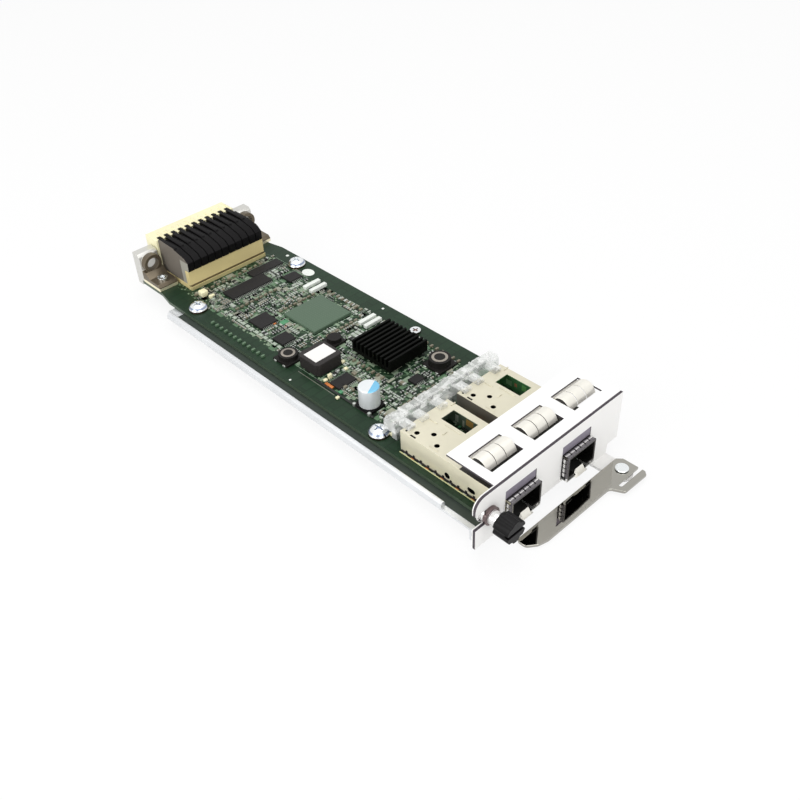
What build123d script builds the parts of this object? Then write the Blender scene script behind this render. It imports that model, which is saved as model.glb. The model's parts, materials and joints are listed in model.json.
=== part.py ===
"""Two-port interface card for a switch: tray, board, port cages, rear connector, lever and captive screw.

Units are millimetres. X runs along the faceplate from left to right as seen from the front, Y runs
from the faceplate to the rear connector, Z is up. The origin is the bottom left corner of the
faceplate's front face.
"""
from build123d import *
import math
import os

os.makedirs("parts", exist_ok=True)


def finish(builder, name):
    """Labels a finished piece and writes it to its own file."""
    builder.part.label = name
    export_step(builder.part, f"parts/{name}.step")


# Driving sizes: faceplate
plate_width = 76.0
plate_height = 21.0
plate_thickness = 1.5
plate_corner = 4.5
notch_height = 6.4
screw_hole_gap = 0.05

# Driving sizes: the two ports
port_count = 2
port_pitch = 29.0
port_names = ("left", "right")
cage_left_x = 14.8
cage_width = 14.25
cage_height = 8.85
cage_wall = 0.4
cage_front_y = -2.7
cage_rear_y = 49.4
cage_floor_rear_y = 31.0
cage_slots = ((2.6, 1.7, 3.0, 0.8), (0.9, 5.6, 0.8, 2.6))
bay_width = 9.85
bay_front_y = 4.0
bay_window_width = 6.6
bay_window_length = 11.9
bay_window_rear_gap = 5.9
side_hole_y = 26.6
side_slot_y = 15.4
vent_diameter = 2.0
vent_places = ((3.2, 5.2), (6.7, 10.1), (3.2, 15.0))
cutout_margin = 0.5
cutout_bottom = 1.0
cutout_top = 15.9
tongue_width = 6.0
tongue_rear_y = 2.6
tongue_slit = 0.5
tongue_drop = 1.25

# Driving sizes: spring collar round each port mouth
collar_sheet = 0.3
collar_rim_depth = 0.7
collar_bottom = 1.3
collar_rear_y = 1.0
finger_bulge = 0.4
finger_gap = 0.5
top_finger_count = 6
side_finger_count = 4
finger_rear_y = -0.1

# Driving sizes: board-edge sockets in the cages
host_front_y = 37.0
host_length = 10.5
host_width = 11.0
host_height = 7.6
host_slot_z = 4.4
host_slot_width = 9.2
host_slot_height = 1.5
host_slot_depth = 6.0

# Driving sizes: board
board_left_x = 10.9
board_right_x = 75.1
board_front_y = 3.0
board_shoulder_y = 194.0
board_rear_y = 218.0
board_thickness = 1.6
board_gap = 1.3
left_screw_places = ((15.3, 61.4), (16.6, 179.1))
right_screw_inset = 5.4
right_screw_y = 176.5
pan_screw_inset = 5.7
pan_screw_y = 97.4
pan_head = 4.6
pan_head_height = 1.1
screw_shank = 2.9
screw_hole = 3.2
screw_head = 8.4
screw_head_height = 3.0
screw_head_rim = 0.7
cross_width = 0.8
cross_depth = 1.3
spacer_diameter = 6.4

# Driving sizes: tray
tray_sheet = 1.0
rail_left_x = 5.0
rail_hem = 1.9
rail_height = 3.1
rail_front_y = 20.0
tray_rear_y = 190.0
tray_inset = 1.7
tray_tab_height = 13.0
tray_left_tab_height = 5.0
tray_left_tab_x = 2.2
tray_left_tab_depth = 3.0
tray_left_slot = 2.2
tray_middle_tab_offset = -6.6
tray_middle_tab_width = 12.0
tray_right_tab_inset = 6.4
tray_right_tab_width = 13.0
tray_corner = 3.0
insulator_sheet = 0.2
insulator_edge = 0.4
insulator_rear_gap = 10.0
tray_slot_margin = 15.2
tray_slot_width = 12.0
tray_slot_rows = (76.0, 116.0, 150.0)

# Driving sizes: top shield and its contact springs
shield_sheet = 0.8
shield_left_x = 9.9
shield_right_x = 75.8
shield_rear_y = 22.2
shield_chamfer = 2.2
shield_lip = 4.0
window_left_x = 14.0
window_width = 15.3
window_length = 10.6
window_front_y = 5.8
window_pitch = 21.1
window_count = 3
window_names = ("left", "middle", "right")
spring_sheet = 0.3
spring_rise = 1.3
spring_dip = 1.2
spring_front_gap = 1.4
spring_rear_gap = 0.5
spring_finger_count = 3
spring_finger_gap = 0.35
spring_side_gap = 0.35
spring_foot = 2.2

# Driving sizes: light guide
arm_width = 3.4
arm_offsets = (3.4, 10.2, 19.6)
arm_front_y = 46.6
arm_height = 1.6
guide_bar_y = 52.0
guide_bar_length = 55.2
guide_bar_depth = 6.0
guide_bar_bottom = 8.2
guide_bar_chamfer = 1.1
guide_leg = 2.6

# Driving sizes: rear connector
connector_left_x = 23.0
connector_width = 41.4
connector_front_y = 194.0
connector_wall_height = 9.3
connector_wall = 2.5
connector_floor = 2.1
connector_plinth = 0.8
connector_plinth_height = 1.9
wafer_count = 11
wafer_gap = 0.4
wafer_top = 20.3
wafer_rear_y = 216.2
wafer_rib = 1.9
wafer_brow_y = 1.8
wafer_brow_drop = 2.0
wafer_nose_drop = 3.8
wafer_shoulder_y = 9.2
wafer_ledge_drop = 0.5
wafer_tooth_length = 3.2
wafer_tooth_drop = 2.2
shroud_drop = 0.6
shroud_rear_y = 225.5
shroud_bottom = 4.6
contact_rows = 6
contact_pitch_z = 2.4
contact_hole = 1.2
contact_depth = 5.0

# Driving sizes: guide blocks beside the rear connector
guide_width = 9.6
guide_connector_gap = 1.0
guide_left_x = connector_left_x - guide_connector_gap - guide_width
guide_pitch = connector_width + 2 * guide_connector_gap + guide_width
guide_bottom = 0.5
guide_low_front_y = 203.0
guide_low_rear_y = 210.8
guide_low_top = 6.0
guide_seat_top = 8.4
guide_boss_front_y = 213.4
guide_tall_front_y = 216.6
guide_rear_y = 222.0
guide_top = 16.2
guide_chamfer = 1.2
guide_bore = 5.6
guide_bore_z = 11.4
guide_boss = 8.8
guide_screw_y = 207.4
guide_shank = 2.2
guide_screw_head = 4.6
guide_screw_height = 1.2
guide_hexagon = 1.2
guide_nut = 2.4
guide_nut_bottom = 0.2

# Driving sizes: parts on the board
sink_x = 41.2
sink_y = 82.8
sink_size_x = 20.8
sink_size_y = 22.2
sink_chip_height = 1.7
sink_base = 1.5
sink_top = 9.9
sink_fins = 10
sink_fin = 1.0
main_chip_x = 39.0
main_chip_y = 126.6
main_chip_size = 20.5
main_chip_height = 1.5
core_x = 20.9
core_y = 102.6
core_width = 13.4
core_length = 12.6
core_height = 5.6
capacitor_x = 23.6
capacitor_y = 75.4
capacitor_diameter = 8.3
capacitor_height = 9.6
capacitor_base_height = 1.2
chip_height = 1.1
chip_places = (
    (42.0, 177.0, 22.0, 8.0), (57.0, 184.0, 17.0, 5.5), (60.8, 168.5, 7.0, 6.0), (26.0, 93.5, 9.0, 6.0),
    (46.4, 73.6, 5.2, 4.2), (28.0, 133.0, 7.0, 7.0), (30.0, 150.0, 9.0, 9.0),
)
drum_places = ((20.9, 121.2, 8.0, 3.2), (41.4, 116.6, 6.0, 2.8), (60.0, 74.0, 9.0, 4.0))
ceramic_width = 1.6
ceramic_length = 0.9
ceramic_height = 0.8
ceramic_edge_inset = 8.6
ceramic_inner_inset = 10.6
ceramic_rows = (
    (14.5, 130.0, 0.0, 3.2, 12), (board_right_x - ceramic_inner_inset, 126.0, 0.0, 3.0, 8),
    (42.0, 121.6, 2.6, 0.0, 7), (40.0, 150.5, 2.6, 0.0, 8), (28.0, 166.0, 2.6, 0.0, 9),
    (38.2, 84.0, 0.0, 2.8, 7), (30.0, 66.0, 2.6, 0.0, 8),
    (board_right_x - ceramic_edge_inset, 70.0, 0.0, 3.0, 7), (22.0, 188.8, 3.0, 0.0, 13),
)
strip_places = ((62.8, 152.6), (62.8, 157.0), (61.0, 114.5), (61.0, 118.0))
strip_length = 9.0
strip_width = 2.0
strip_height = 1.6

# Driving sizes: captive screw
screw_axis_x = 6.5
screw_axis_z = 11.6
thumb_diameter = 8.8
thumb_front_y = -11.3
thumb_rear_y = -5.0
flute_count = 6
flute_radius = 1.6
flute_depth_offset = 1.0
driver_slot_width = 1.2
driver_slot_depth = 1.5
knob_socket_depth = 3.3
ferrule_front_y = -4.4
ferrule_diameter = 5.2
ferrule_base = 6.4
ferrule_base_y = -1.4
ferrule_flange = 7.6
ferrule_flange_thickness = 0.8
ferrule_lip = 0.6
ferrule_bore = 4.1
notch_clearance = 0.25
neck_diameter = 2.2
shaft_diameter = 3.0
thread_start_gap = 0.1
shaft_rear_y = 5.0
shaft_chamfer = 0.3
running_gap = 0.06
shaft_travel = 2.8
clip_stop_gap = 0.1
clip_thickness = 0.6
clip_diameter = 3.9
clip_groove_depth = 0.2
clip_groove_gap = 0.05

# Driving sizes: ejector lever
lever_sheet = 1.1
# The lever is drawn from its pivot along X, so it follows the pivot and the plate's right end
lever_outline = (
    (-51.5, -5.0), (-51.5, -9.0), (-48.0, -11.6), (-44.0, -12.6), (-11.0, -12.6), (-8.5, -17.5),
    (3.5, -17.7), (4.8, -16.4), (4.8, -7.0), (3.0, -5.0),
)
lever_corners = (
    (-51.5, -5.0, 1.4), (-51.5, -9.0, 2.0), (-48.0, -11.6, 3.0), (-44.0, -12.6, 4.0),
    (-11.0, -12.6, 2.0), (-8.5, -17.5, 1.2),
)
web_left = -49.0
web_right = -8.0
web_front_y = -6.0
web_rear_y = -5.0
claw_slot_offset = -0.5
claw_slot_y = -14.3
claw_slot_length = 14.0
claw_slot_width = 1.6
lever_top = -2.8
lever_web_top = -1.7
lever_gap = 0.3
pivot_inset = 10.0
pivot_y = -9.8
pivot_diameter = 3.0
pivot_head = 5.0
pivot_head_thickness = 0.45
pivot_head_gap = 0.2
ear_width = 8.4
ear_sheet = 1.1
ear_overlap = 0.6

# Values worked out from the driving sizes
board_bottom = board_gap
board_top = board_bottom + board_thickness
cage_top = board_top + cage_height
board_mid_x = (board_left_x + board_right_x) / 2
tray_right_x = board_right_x - tray_inset
tray_mid_x = (rail_left_x + tray_right_x) / 2
screw_places = (*left_screw_places, (board_right_x - right_screw_inset, right_screw_y))
pan_screw_place = (board_right_x - pan_screw_inset, pan_screw_y)
hole_places = (*screw_places, pan_screw_place)
pivot_x = plate_width - pivot_inset
ear_bottom = lever_top - lever_sheet - lever_gap - ear_sheet
rear_plane = plate_thickness


# Faceplate: one pressed sheet with two port cut-outs, an open notch for the screw and a pivot ear
with BuildPart() as faceplate:
    with BuildSketch(Plane.XZ) as front:
        Rectangle(plate_width, plate_height, align=(Align.MIN, Align.MIN))
        left_corners = front.vertices().group_by(Axis.X)[0]
        fillet(left_corners.sort_by(Axis.Y)[-1], plate_corner)
        for port in range(port_count):
            cut_x = cage_left_x + port * port_pitch + cage_width / 2
            with Locations((cut_x, (cutout_bottom + cutout_top) / 2)):
                Rectangle(cage_width + 2 * cutout_margin, cutout_top - cutout_bottom, mode=Mode.SUBTRACT)
        with Locations((screw_axis_x, screw_axis_z)):
            Circle(notch_height / 2, mode=Mode.SUBTRACT)
        with Locations((screw_axis_x / 2 - 1, screw_axis_z)):
            Rectangle(screw_axis_x + 2, notch_height, mode=Mode.SUBTRACT)
    extrude(amount=-plate_thickness)
    with BuildSketch(Plane.XZ):
        with Locations((pivot_x, (ear_bottom + ear_overlap) / 2)):
            Rectangle(ear_width, ear_overlap - ear_bottom)
    extrude(amount=-ear_sheet)
    with BuildSketch(Plane.XY.offset(ear_bottom)):
        with Locations((pivot_x, (pivot_y + ear_sheet) / 2)):
            Rectangle(ear_width, ear_sheet - pivot_y)
        with Locations((pivot_x, pivot_y)):
            Circle(ear_width / 2)
            Circle(pivot_diameter / 2 + running_gap, mode=Mode.SUBTRACT)
    extrude(amount=ear_sheet)
finish(faceplate, "faceplate")

# Tray: floor sheet with a hemmed rail on the left, welded tabs at the front and raised screw pads
with BuildPart() as tray:
    with BuildSketch():
        with BuildLine():
            Polyline(
                (rail_left_x, rear_plane), (tray_right_x, rear_plane),
                (tray_right_x, tray_rear_y - tray_corner), (tray_right_x - tray_corner, tray_rear_y),
                (rail_left_x + tray_corner, tray_rear_y), (rail_left_x, tray_rear_y - tray_corner),
                close=True,
            )
        make_face()
        for slot_y in tray_slot_rows:
            with Locations((tray_mid_x, slot_y)):
                SlotOverall(
                    tray_right_x - rail_left_x - 2 * tray_slot_margin, tray_slot_width, mode=Mode.SUBTRACT,
                )
    extrude(amount=tray_sheet)
    with BuildSketch(Plane.XY.offset(tray_sheet)):
        for place in hole_places:
            with Locations(place):
                Circle(spacer_diameter / 2)
    extrude(amount=board_gap - tray_sheet)
    with BuildSketch():
        for place in hole_places:
            with Locations(place):
                Circle(screw_shank / 2 + screw_hole_gap)
    extrude(amount=board_gap, mode=Mode.SUBTRACT)
    with BuildSketch(Plane.XZ.offset(-rail_front_y)) as rail_section:
        with BuildLine():
            Polyline(
                (rail_left_x, 0), (rail_left_x, rail_height), (rail_left_x + rail_hem, rail_height),
                (rail_left_x + rail_hem, tray_sheet), (rail_left_x + rail_hem, 0), close=True,
            )
        make_face()
        rail_tops = rail_section.vertices().group_by(Axis.Y)[-1]
        fillet(rail_tops, rail_hem * 0.3)
    extrude(amount=-(tray_rear_y - tray_corner - 1 - rail_front_y))
    with BuildSketch(Plane.XZ.offset(-rear_plane)):
        with Locations((board_mid_x + tray_middle_tab_offset, 0)):
            Rectangle(tray_middle_tab_width, tray_tab_height, align=(Align.CENTER, Align.MIN))
        with Locations((tray_right_x - tray_right_tab_inset, 0)):
            Rectangle(tray_right_tab_width - tray_corner / 4, tray_tab_height, align=(Align.CENTER, Align.MIN))
    extrude(amount=-tray_sheet)
    with BuildSketch():
        with Locations((tray_left_tab_x, rear_plane)):
            Rectangle(rail_left_x - tray_left_tab_x + 0.5, tray_left_tab_depth, align=(Align.MIN, Align.MIN))
    extrude(amount=tray_sheet)
    with BuildSketch(Plane.YZ.offset(tray_left_tab_x)):
        with Locations((rear_plane, 0)):
            Rectangle(tray_left_tab_depth, tray_left_tab_height, align=(Align.MIN, Align.MIN))
        with Locations((rear_plane + tray_left_tab_depth / 2, tray_left_tab_height * 0.6)):
            SlotOverall(tray_left_slot, tray_left_slot / 2, rotation=90, mode=Mode.SUBTRACT)
    extrude(amount=tray_sheet)
finish(tray, "tray")

# Insulating sheet between the tray and the board
with BuildPart() as insulating_sheet:
    with BuildSketch(Plane.XY.offset(tray_sheet)):
        with Locations((rail_left_x + rail_hem + insulator_edge / 2, rear_plane + tray_sheet + insulator_edge)):
            Rectangle(
                tray_right_x - rail_left_x - rail_hem - 3 * insulator_edge, tray_rear_y - insulator_rear_gap,
                align=(Align.MIN, Align.MIN),
            )
        for place in hole_places:
            with Locations(place):
                Circle(spacer_diameter / 2 + 0.3, mode=Mode.SUBTRACT)
    extrude(amount=insulator_sheet)
finish(insulating_sheet, "insulating_sheet")

# Board with its screw holes and the narrowed rear end under the connector
with BuildPart() as board:
    with BuildSketch(Plane.XY.offset(board_bottom)):
        with BuildLine():
            Polyline(
                (board_left_x, board_front_y), (board_right_x, board_front_y),
                (board_right_x, board_shoulder_y), (board_right_x - 1.6, board_shoulder_y + 8),
                (board_right_x - 1.6, board_rear_y), (board_left_x + 1.6, board_rear_y),
                (board_left_x + 1.6, board_shoulder_y + 8), (board_left_x, board_shoulder_y), close=True,
            )
        make_face()
        for place in hole_places:
            with Locations(place):
                Circle(screw_hole / 2, mode=Mode.SUBTRACT)
        for side in range(2):
            with Locations((guide_left_x + guide_width / 2 + side * guide_pitch, guide_screw_y)):
                Circle(guide_shank / 2 + 0.1, mode=Mode.SUBTRACT)
    extrude(amount=board_thickness)
finish(board, "board")

# Board screws: three domed heads and one low pan head on shanks that reach the tray pads
with BuildPart() as board_screws:
    with BuildSketch(Plane.XY.offset(0.1)):
        for place in hole_places:
            with Locations(place):
                Circle(screw_shank / 2)
    extrude(amount=board_top - 0.1)
    for place in screw_places:
        with BuildSketch(Plane.XZ.offset(-place[1])):
            with BuildLine():
                Line((place[0], board_top), (place[0] + screw_head / 2, board_top))
                Line((place[0] + screw_head / 2, board_top), (place[0] + screw_head / 2, board_top + screw_head_rim))
                ThreePointArc(
                    (place[0] + screw_head / 2, board_top + screw_head_rim),
                    (place[0] + screw_head * 0.4, board_top + screw_head_height * 0.66),
                    (place[0] + screw_head * 0.2, board_top + screw_head_height),
                )
                Line(
                    (place[0] + screw_head * 0.2, board_top + screw_head_height),
                    (place[0], board_top + screw_head_height),
                )
                Line((place[0], board_top + screw_head_height), (place[0], board_top))
            make_face()
        revolve(axis=Axis((place[0], place[1], 0), (0, 0, 1)))
        with BuildSketch(Plane.XY.offset(board_top + screw_head_height)):
            with Locations(place):
                Rectangle(screw_head / 2, cross_width)
                Rectangle(cross_width, screw_head / 2)
        extrude(amount=-cross_depth, mode=Mode.SUBTRACT)
    with BuildSketch(Plane.XY.offset(board_top)):
        with Locations(pan_screw_place):
            Circle(pan_head / 2)
    extrude(amount=pan_head_height)
    with BuildSketch(Plane.XY.offset(board_top + pan_head_height)):
        with Locations(pan_screw_place):
            Rectangle(pan_head * 0.6, cross_width)
            Rectangle(cross_width, pan_head * 0.6)
    extrude(amount=-pan_head_height / 2, mode=Mode.SUBTRACT)
finish(board_screws, "board_screws")

# Port cages: folded sheet tubes with a latch tongue, a side bay, vents and retaining slots
for port in range(port_count):
    left = cage_left_x + port * port_pitch
    middle = left + cage_width / 2
    bay_right = left + cage_width + bay_width
    with BuildPart() as cage:
        with BuildSketch(Plane.XZ.offset(-cage_front_y)):
            with Locations((middle, board_top)):
                Rectangle(cage_width, cage_height, align=(Align.CENTER, Align.MIN))
            with Locations((middle, board_top + cage_wall)):
                Rectangle(
                    cage_width - 2 * cage_wall, cage_height - 2 * cage_wall,
                    align=(Align.CENTER, Align.MIN), mode=Mode.SUBTRACT,
                )
        extrude(amount=-(cage_rear_y - cage_front_y))
        with BuildSketch(Plane.XZ.offset(-cage_rear_y)):
            with Locations((left, board_top)):
                Rectangle(cage_width + bay_width, cage_height, align=(Align.MIN, Align.MIN))
        extrude(amount=cage_wall)
        with BuildSketch(Plane.XZ.offset(-bay_front_y)):
            with Locations((left + cage_width - cage_wall, cage_top)):
                Rectangle(bay_width + cage_wall, cage_wall, align=(Align.MIN, Align.MAX))
            with Locations((bay_right, board_top)):
                Rectangle(cage_wall, cage_height, align=(Align.MAX, Align.MIN))
        extrude(amount=-(cage_rear_y - bay_front_y))
        with BuildSketch(Plane.XY.offset(board_top)):
            with Locations((middle, cage_floor_rear_y)):
                Rectangle(
                    cage_width - 2 * cage_wall, cage_rear_y - cage_wall - cage_floor_rear_y,
                    align=(Align.CENTER, Align.MIN),
                )
            with Locations((middle, cage_front_y)):
                Rectangle(
                    tongue_width + 2 * tongue_slit, tongue_rear_y - cage_front_y,
                    align=(Align.CENTER, Align.MIN),
                )
        extrude(amount=cage_wall, mode=Mode.SUBTRACT)
        with BuildSketch(Plane.YZ.offset(middle - tongue_width / 2)):
            with BuildLine():
                Polyline(
                    (cage_front_y, board_top - tongue_drop), (tongue_rear_y + 0.2, board_top),
                    (tongue_rear_y + 0.2, board_top + cage_wall),
                    (cage_front_y, board_top - tongue_drop + cage_wall), close=True,
                )
            make_face()
        extrude(amount=tongue_width)
        with BuildSketch(Plane.XY.offset(cage_top)):
            with Locations((left + cage_width + 0.3, cage_rear_y - bay_window_rear_gap)):
                Rectangle(bay_window_width, bay_window_length, align=(Align.MIN, Align.MAX))
            for vent_x, vent_y in vent_places:
                with Locations((left + vent_x, cage_rear_y - vent_y)):
                    Circle(vent_diameter / 2)
            for slot_x, slot_y, slot_width, slot_length in cage_slots:
                with Locations((left + slot_x, cage_rear_y - slot_y)):
                    Rectangle(slot_width, slot_length)
        extrude(amount=-cage_wall, mode=Mode.SUBTRACT)
        with BuildSketch(Plane.YZ.offset(left)):
            with Locations((side_hole_y, board_top + 2.0)):
                Circle(1.3)
            with Locations((side_slot_y, board_top + 2.4)):
                SlotOverall(3.6, 2.2)
        extrude(amount=cage_wall, mode=Mode.SUBTRACT)
    finish(cage, f"cage_{port_names[port]}")

# Spring collars: a bent rim round each port mouth with spring fingers that flare to the cut-out
for port in range(port_count):
    left = cage_left_x + port * port_pitch
    right = left + cage_width
    middle = left + cage_width / 2
    rim_rear_y = cage_front_y + collar_rim_depth
    finger_width = (cage_width - (top_finger_count - 1) * finger_gap) / top_finger_count
    side_width = (cage_height - 1.2 - (side_finger_count - 1) * finger_gap) / side_finger_count
    mid_y = (rim_rear_y + finger_rear_y) / 2
    with BuildPart() as collar:
        with BuildSketch(Plane.XZ.offset(-cage_front_y)):
            with Locations((middle, collar_bottom)):
                Rectangle(
                    cage_width + 2 * collar_sheet, cage_top + collar_sheet - collar_bottom,
                    align=(Align.CENTER, Align.MIN),
                )
            with Locations((middle, collar_bottom + collar_sheet)):
                Rectangle(
                    cage_width, cage_top - collar_bottom - collar_sheet,
                    align=(Align.CENTER, Align.MIN), mode=Mode.SUBTRACT,
                )
        extrude(amount=-collar_rim_depth)
        with BuildSketch(Plane.XZ.offset(-rim_rear_y)):
            with Locations((middle, collar_bottom)):
                Rectangle(cage_width + 2 * collar_sheet, collar_sheet, align=(Align.CENTER, Align.MIN))
        extrude(amount=-(collar_rear_y - rim_rear_y))
        with BuildSketch(Plane.YZ.offset(left)):
            with BuildLine():
                ThreePointArc(
                    (rim_rear_y - 0.1, cage_top), (mid_y, cage_top + finger_bulge), (finger_rear_y, cage_top),
                )
                Line((finger_rear_y, cage_top), (finger_rear_y, cage_top + collar_sheet))
                ThreePointArc(
                    (finger_rear_y, cage_top + collar_sheet),
                    (mid_y, cage_top + finger_bulge + collar_sheet),
                    (rim_rear_y - 0.1, cage_top + collar_sheet),
                )
                Line((rim_rear_y - 0.1, cage_top + collar_sheet), (rim_rear_y - 0.1, cage_top))
            make_face()
        extrude(amount=cage_width)
        for gap in range(1, top_finger_count):
            with BuildSketch(Plane.XY.offset(cage_top - 0.05)):
                with Locations((left + gap * (finger_width + finger_gap) - finger_gap / 2, rim_rear_y)):
                    Rectangle(finger_gap, 4, align=(Align.CENTER, Align.MIN))
            extrude(amount=2, mode=Mode.SUBTRACT)
        for edge_x, outward in ((left, -1), (right, 1)):
            with BuildSketch(Plane.XY.offset(board_top + 0.6)):
                with BuildLine():
                    ThreePointArc(
                        (edge_x, rim_rear_y - 0.1), (edge_x + outward * finger_bulge, mid_y),
                        (edge_x, finger_rear_y),
                    )
                    Line((edge_x, finger_rear_y), (edge_x + outward * collar_sheet, finger_rear_y))
                    ThreePointArc(
                        (edge_x + outward * collar_sheet, finger_rear_y),
                        (edge_x + outward * (finger_bulge + collar_sheet), mid_y),
                        (edge_x + outward * collar_sheet, rim_rear_y - 0.1),
                    )
                    Line((edge_x + outward * collar_sheet, rim_rear_y - 0.1), (edge_x, rim_rear_y - 0.1))
                make_face()
            extrude(amount=cage_height - 1.2)
            for gap in range(1, side_finger_count):
                gap_z = board_top + 0.6 + gap * (side_width + finger_gap) - finger_gap / 2
                with BuildSketch(Plane.YZ.offset(edge_x - outward * 0.05)):
                    with Locations((rim_rear_y, gap_z)):
                        Rectangle(4, finger_gap, align=(Align.MIN, Align.CENTER))
                extrude(amount=outward * 2, mode=Mode.SUBTRACT)
    finish(collar, f"collar_{port_names[port]}")

# Conductive seals that fill the tall cut-outs above the cages
for port in range(port_count):
    middle = cage_left_x + port * port_pitch + cage_width / 2
    with BuildPart() as port_seal:
        with BuildSketch(Plane.XZ.offset(-0.2)):
            with Locations((middle, cage_top + 0.4)):
                Rectangle(
                    cage_width + 2 * cutout_margin - 0.2, cutout_top - cage_top - 0.5,
                    align=(Align.CENTER, Align.MIN),
                )
        extrude(amount=-(plate_thickness - 0.3))
    finish(port_seal, f"port_seal_{port_names[port]}")

# Board-edge sockets at the back of each cage, with the slot that takes a module's edge
for port in range(port_count):
    middle = cage_left_x + port * port_pitch + cage_width / 2
    with BuildPart() as host_connector:
        with BuildSketch(Plane.XZ.offset(-host_front_y)):
            with Locations((middle, board_top)):
                Rectangle(host_width, host_height, align=(Align.CENTER, Align.MIN))
        extrude(amount=-host_length)
        with BuildSketch(Plane.XZ.offset(-host_front_y)):
            with Locations((middle, board_top + host_slot_z)):
                Rectangle(host_slot_width, host_slot_height)
        extrude(amount=-host_slot_depth, mode=Mode.SUBTRACT)
    finish(host_connector, f"host_connector_{port_names[port]}")

# Top shield: flange over the cages with a lip on the faceplate and three windows
with BuildPart() as top_shield:
    with BuildSketch(Plane.XY.offset(plate_height - shield_sheet)):
        with BuildLine():
            Polyline(
                (shield_left_x, rear_plane), (shield_right_x, rear_plane),
                (shield_right_x, shield_rear_y - shield_chamfer),
                (shield_right_x - shield_chamfer, shield_rear_y), (shield_left_x, shield_rear_y), close=True,
            )
        make_face()
        for window in range(window_count):
            with Locations((window_left_x + window * window_pitch, window_front_y)):
                Rectangle(window_width, window_length, align=(Align.MIN, Align.MIN), mode=Mode.SUBTRACT)
    extrude(amount=shield_sheet)
    with BuildSketch(Plane.XZ.offset(-rear_plane)):
        with Locations((shield_left_x, plate_height)):
            Rectangle(shield_right_x - shield_left_x, shield_lip, align=(Align.MIN, Align.MAX))
    extrude(amount=-shield_sheet)
finish(top_shield, "top_shield")

# Contact springs: three arched fingers per window, held by a foot under the rear of the shield's window
spring_foot_z = plate_height - shield_sheet
spring_mid_y = window_front_y + window_length / 2
spring_tip_y = window_front_y + spring_front_gap
spring_rear_y = window_front_y + window_length
spring_root_y = spring_rear_y - spring_rear_gap
spring_tip_z = spring_foot_z - spring_dip
for window in range(window_count):
    spring_left = window_left_x + window * window_pitch + spring_side_gap
    spring_width = window_width - 2 * spring_side_gap
    with BuildPart() as contact_spring:
        with BuildSketch(Plane.YZ.offset(spring_left)):
            with BuildLine():
                ThreePointArc(
                    (spring_tip_y, spring_tip_z), (spring_mid_y, plate_height + spring_rise),
                    (spring_root_y, spring_foot_z),
                )
                Line((spring_root_y, spring_foot_z), (spring_rear_y + spring_foot, spring_foot_z))
                Line(
                    (spring_rear_y + spring_foot, spring_foot_z),
                    (spring_rear_y + spring_foot, spring_foot_z - spring_sheet),
                )
                Line(
                    (spring_rear_y + spring_foot, spring_foot_z - spring_sheet),
                    (spring_root_y - spring_sheet / 2, spring_foot_z - spring_sheet),
                )
                ThreePointArc(
                    (spring_root_y - spring_sheet / 2, spring_foot_z - spring_sheet),
                    (spring_mid_y, plate_height + spring_rise - spring_sheet),
                    (spring_tip_y + spring_sheet, spring_tip_z - spring_sheet / 3),
                )
                Line((spring_tip_y + spring_sheet, spring_tip_z - spring_sheet / 3), (spring_tip_y, spring_tip_z))
            make_face()
        extrude(amount=spring_width)
        for gap in range(1, spring_finger_count):
            with BuildSketch(Plane.XY.offset(spring_tip_z - 1)):
                with Locations((spring_left + gap * spring_width / spring_finger_count, spring_mid_y)):
                    Rectangle(spring_finger_gap, window_length)
            extrude(amount=spring_rise + spring_dip + 4, mode=Mode.SUBTRACT)
    finish(contact_spring, f"contact_spring_{window_names[window]}")

# Light guide: clear bar behind the cages with legs over the lamps and arms on the cage roofs
with BuildPart() as light_guide:
    with BuildSketch(Plane.YZ.offset(cage_left_x)) as bar_section:
        with Locations((guide_bar_y, guide_bar_bottom)):
            Rectangle(guide_bar_depth, cage_top + arm_height - guide_bar_bottom, align=(Align.MIN, Align.MIN))
        chamfer(bar_section.vertices().group_by(Axis.Y)[-1], guide_bar_chamfer)
    extrude(amount=guide_bar_length)
    with BuildSketch(Plane.XY.offset(board_top)):
        for port in range(port_count):
            for offset in arm_offsets:
                with Locations((cage_left_x + port * port_pitch + offset, guide_bar_y + guide_bar_depth / 2)):
                    Rectangle(guide_leg, guide_leg)
    extrude(amount=guide_bar_bottom - board_top)
    with BuildSketch(Plane.XY.offset(cage_top)):
        for port in range(port_count):
            for offset in arm_offsets:
                with Locations((cage_left_x + port * port_pitch + offset, arm_front_y)):
                    Rectangle(arm_width, guide_bar_y - arm_front_y, align=(Align.CENTER, Align.MIN))
    extrude(amount=arm_height)
finish(light_guide, "light_guide")

# Rear connector base: cream housing with a front wall, a floor and a low plinth
with BuildPart() as connector_base:
    with BuildSketch(Plane.YZ.offset(connector_left_x)):
        with BuildLine():
            Polyline(
                (connector_front_y - connector_plinth, board_top),
                (connector_front_y - connector_plinth, board_top + connector_plinth_height),
                (connector_front_y, board_top + connector_plinth_height),
                (connector_front_y, board_top + connector_wall_height),
                (connector_front_y + connector_wall, board_top + connector_wall_height),
                (connector_front_y + connector_wall, board_top + connector_floor),
                (wafer_rear_y, board_top + connector_floor), (wafer_rear_y, board_top), close=True,
            )
        make_face()
    extrude(amount=connector_width)
finish(connector_base, "connector_base")

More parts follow.
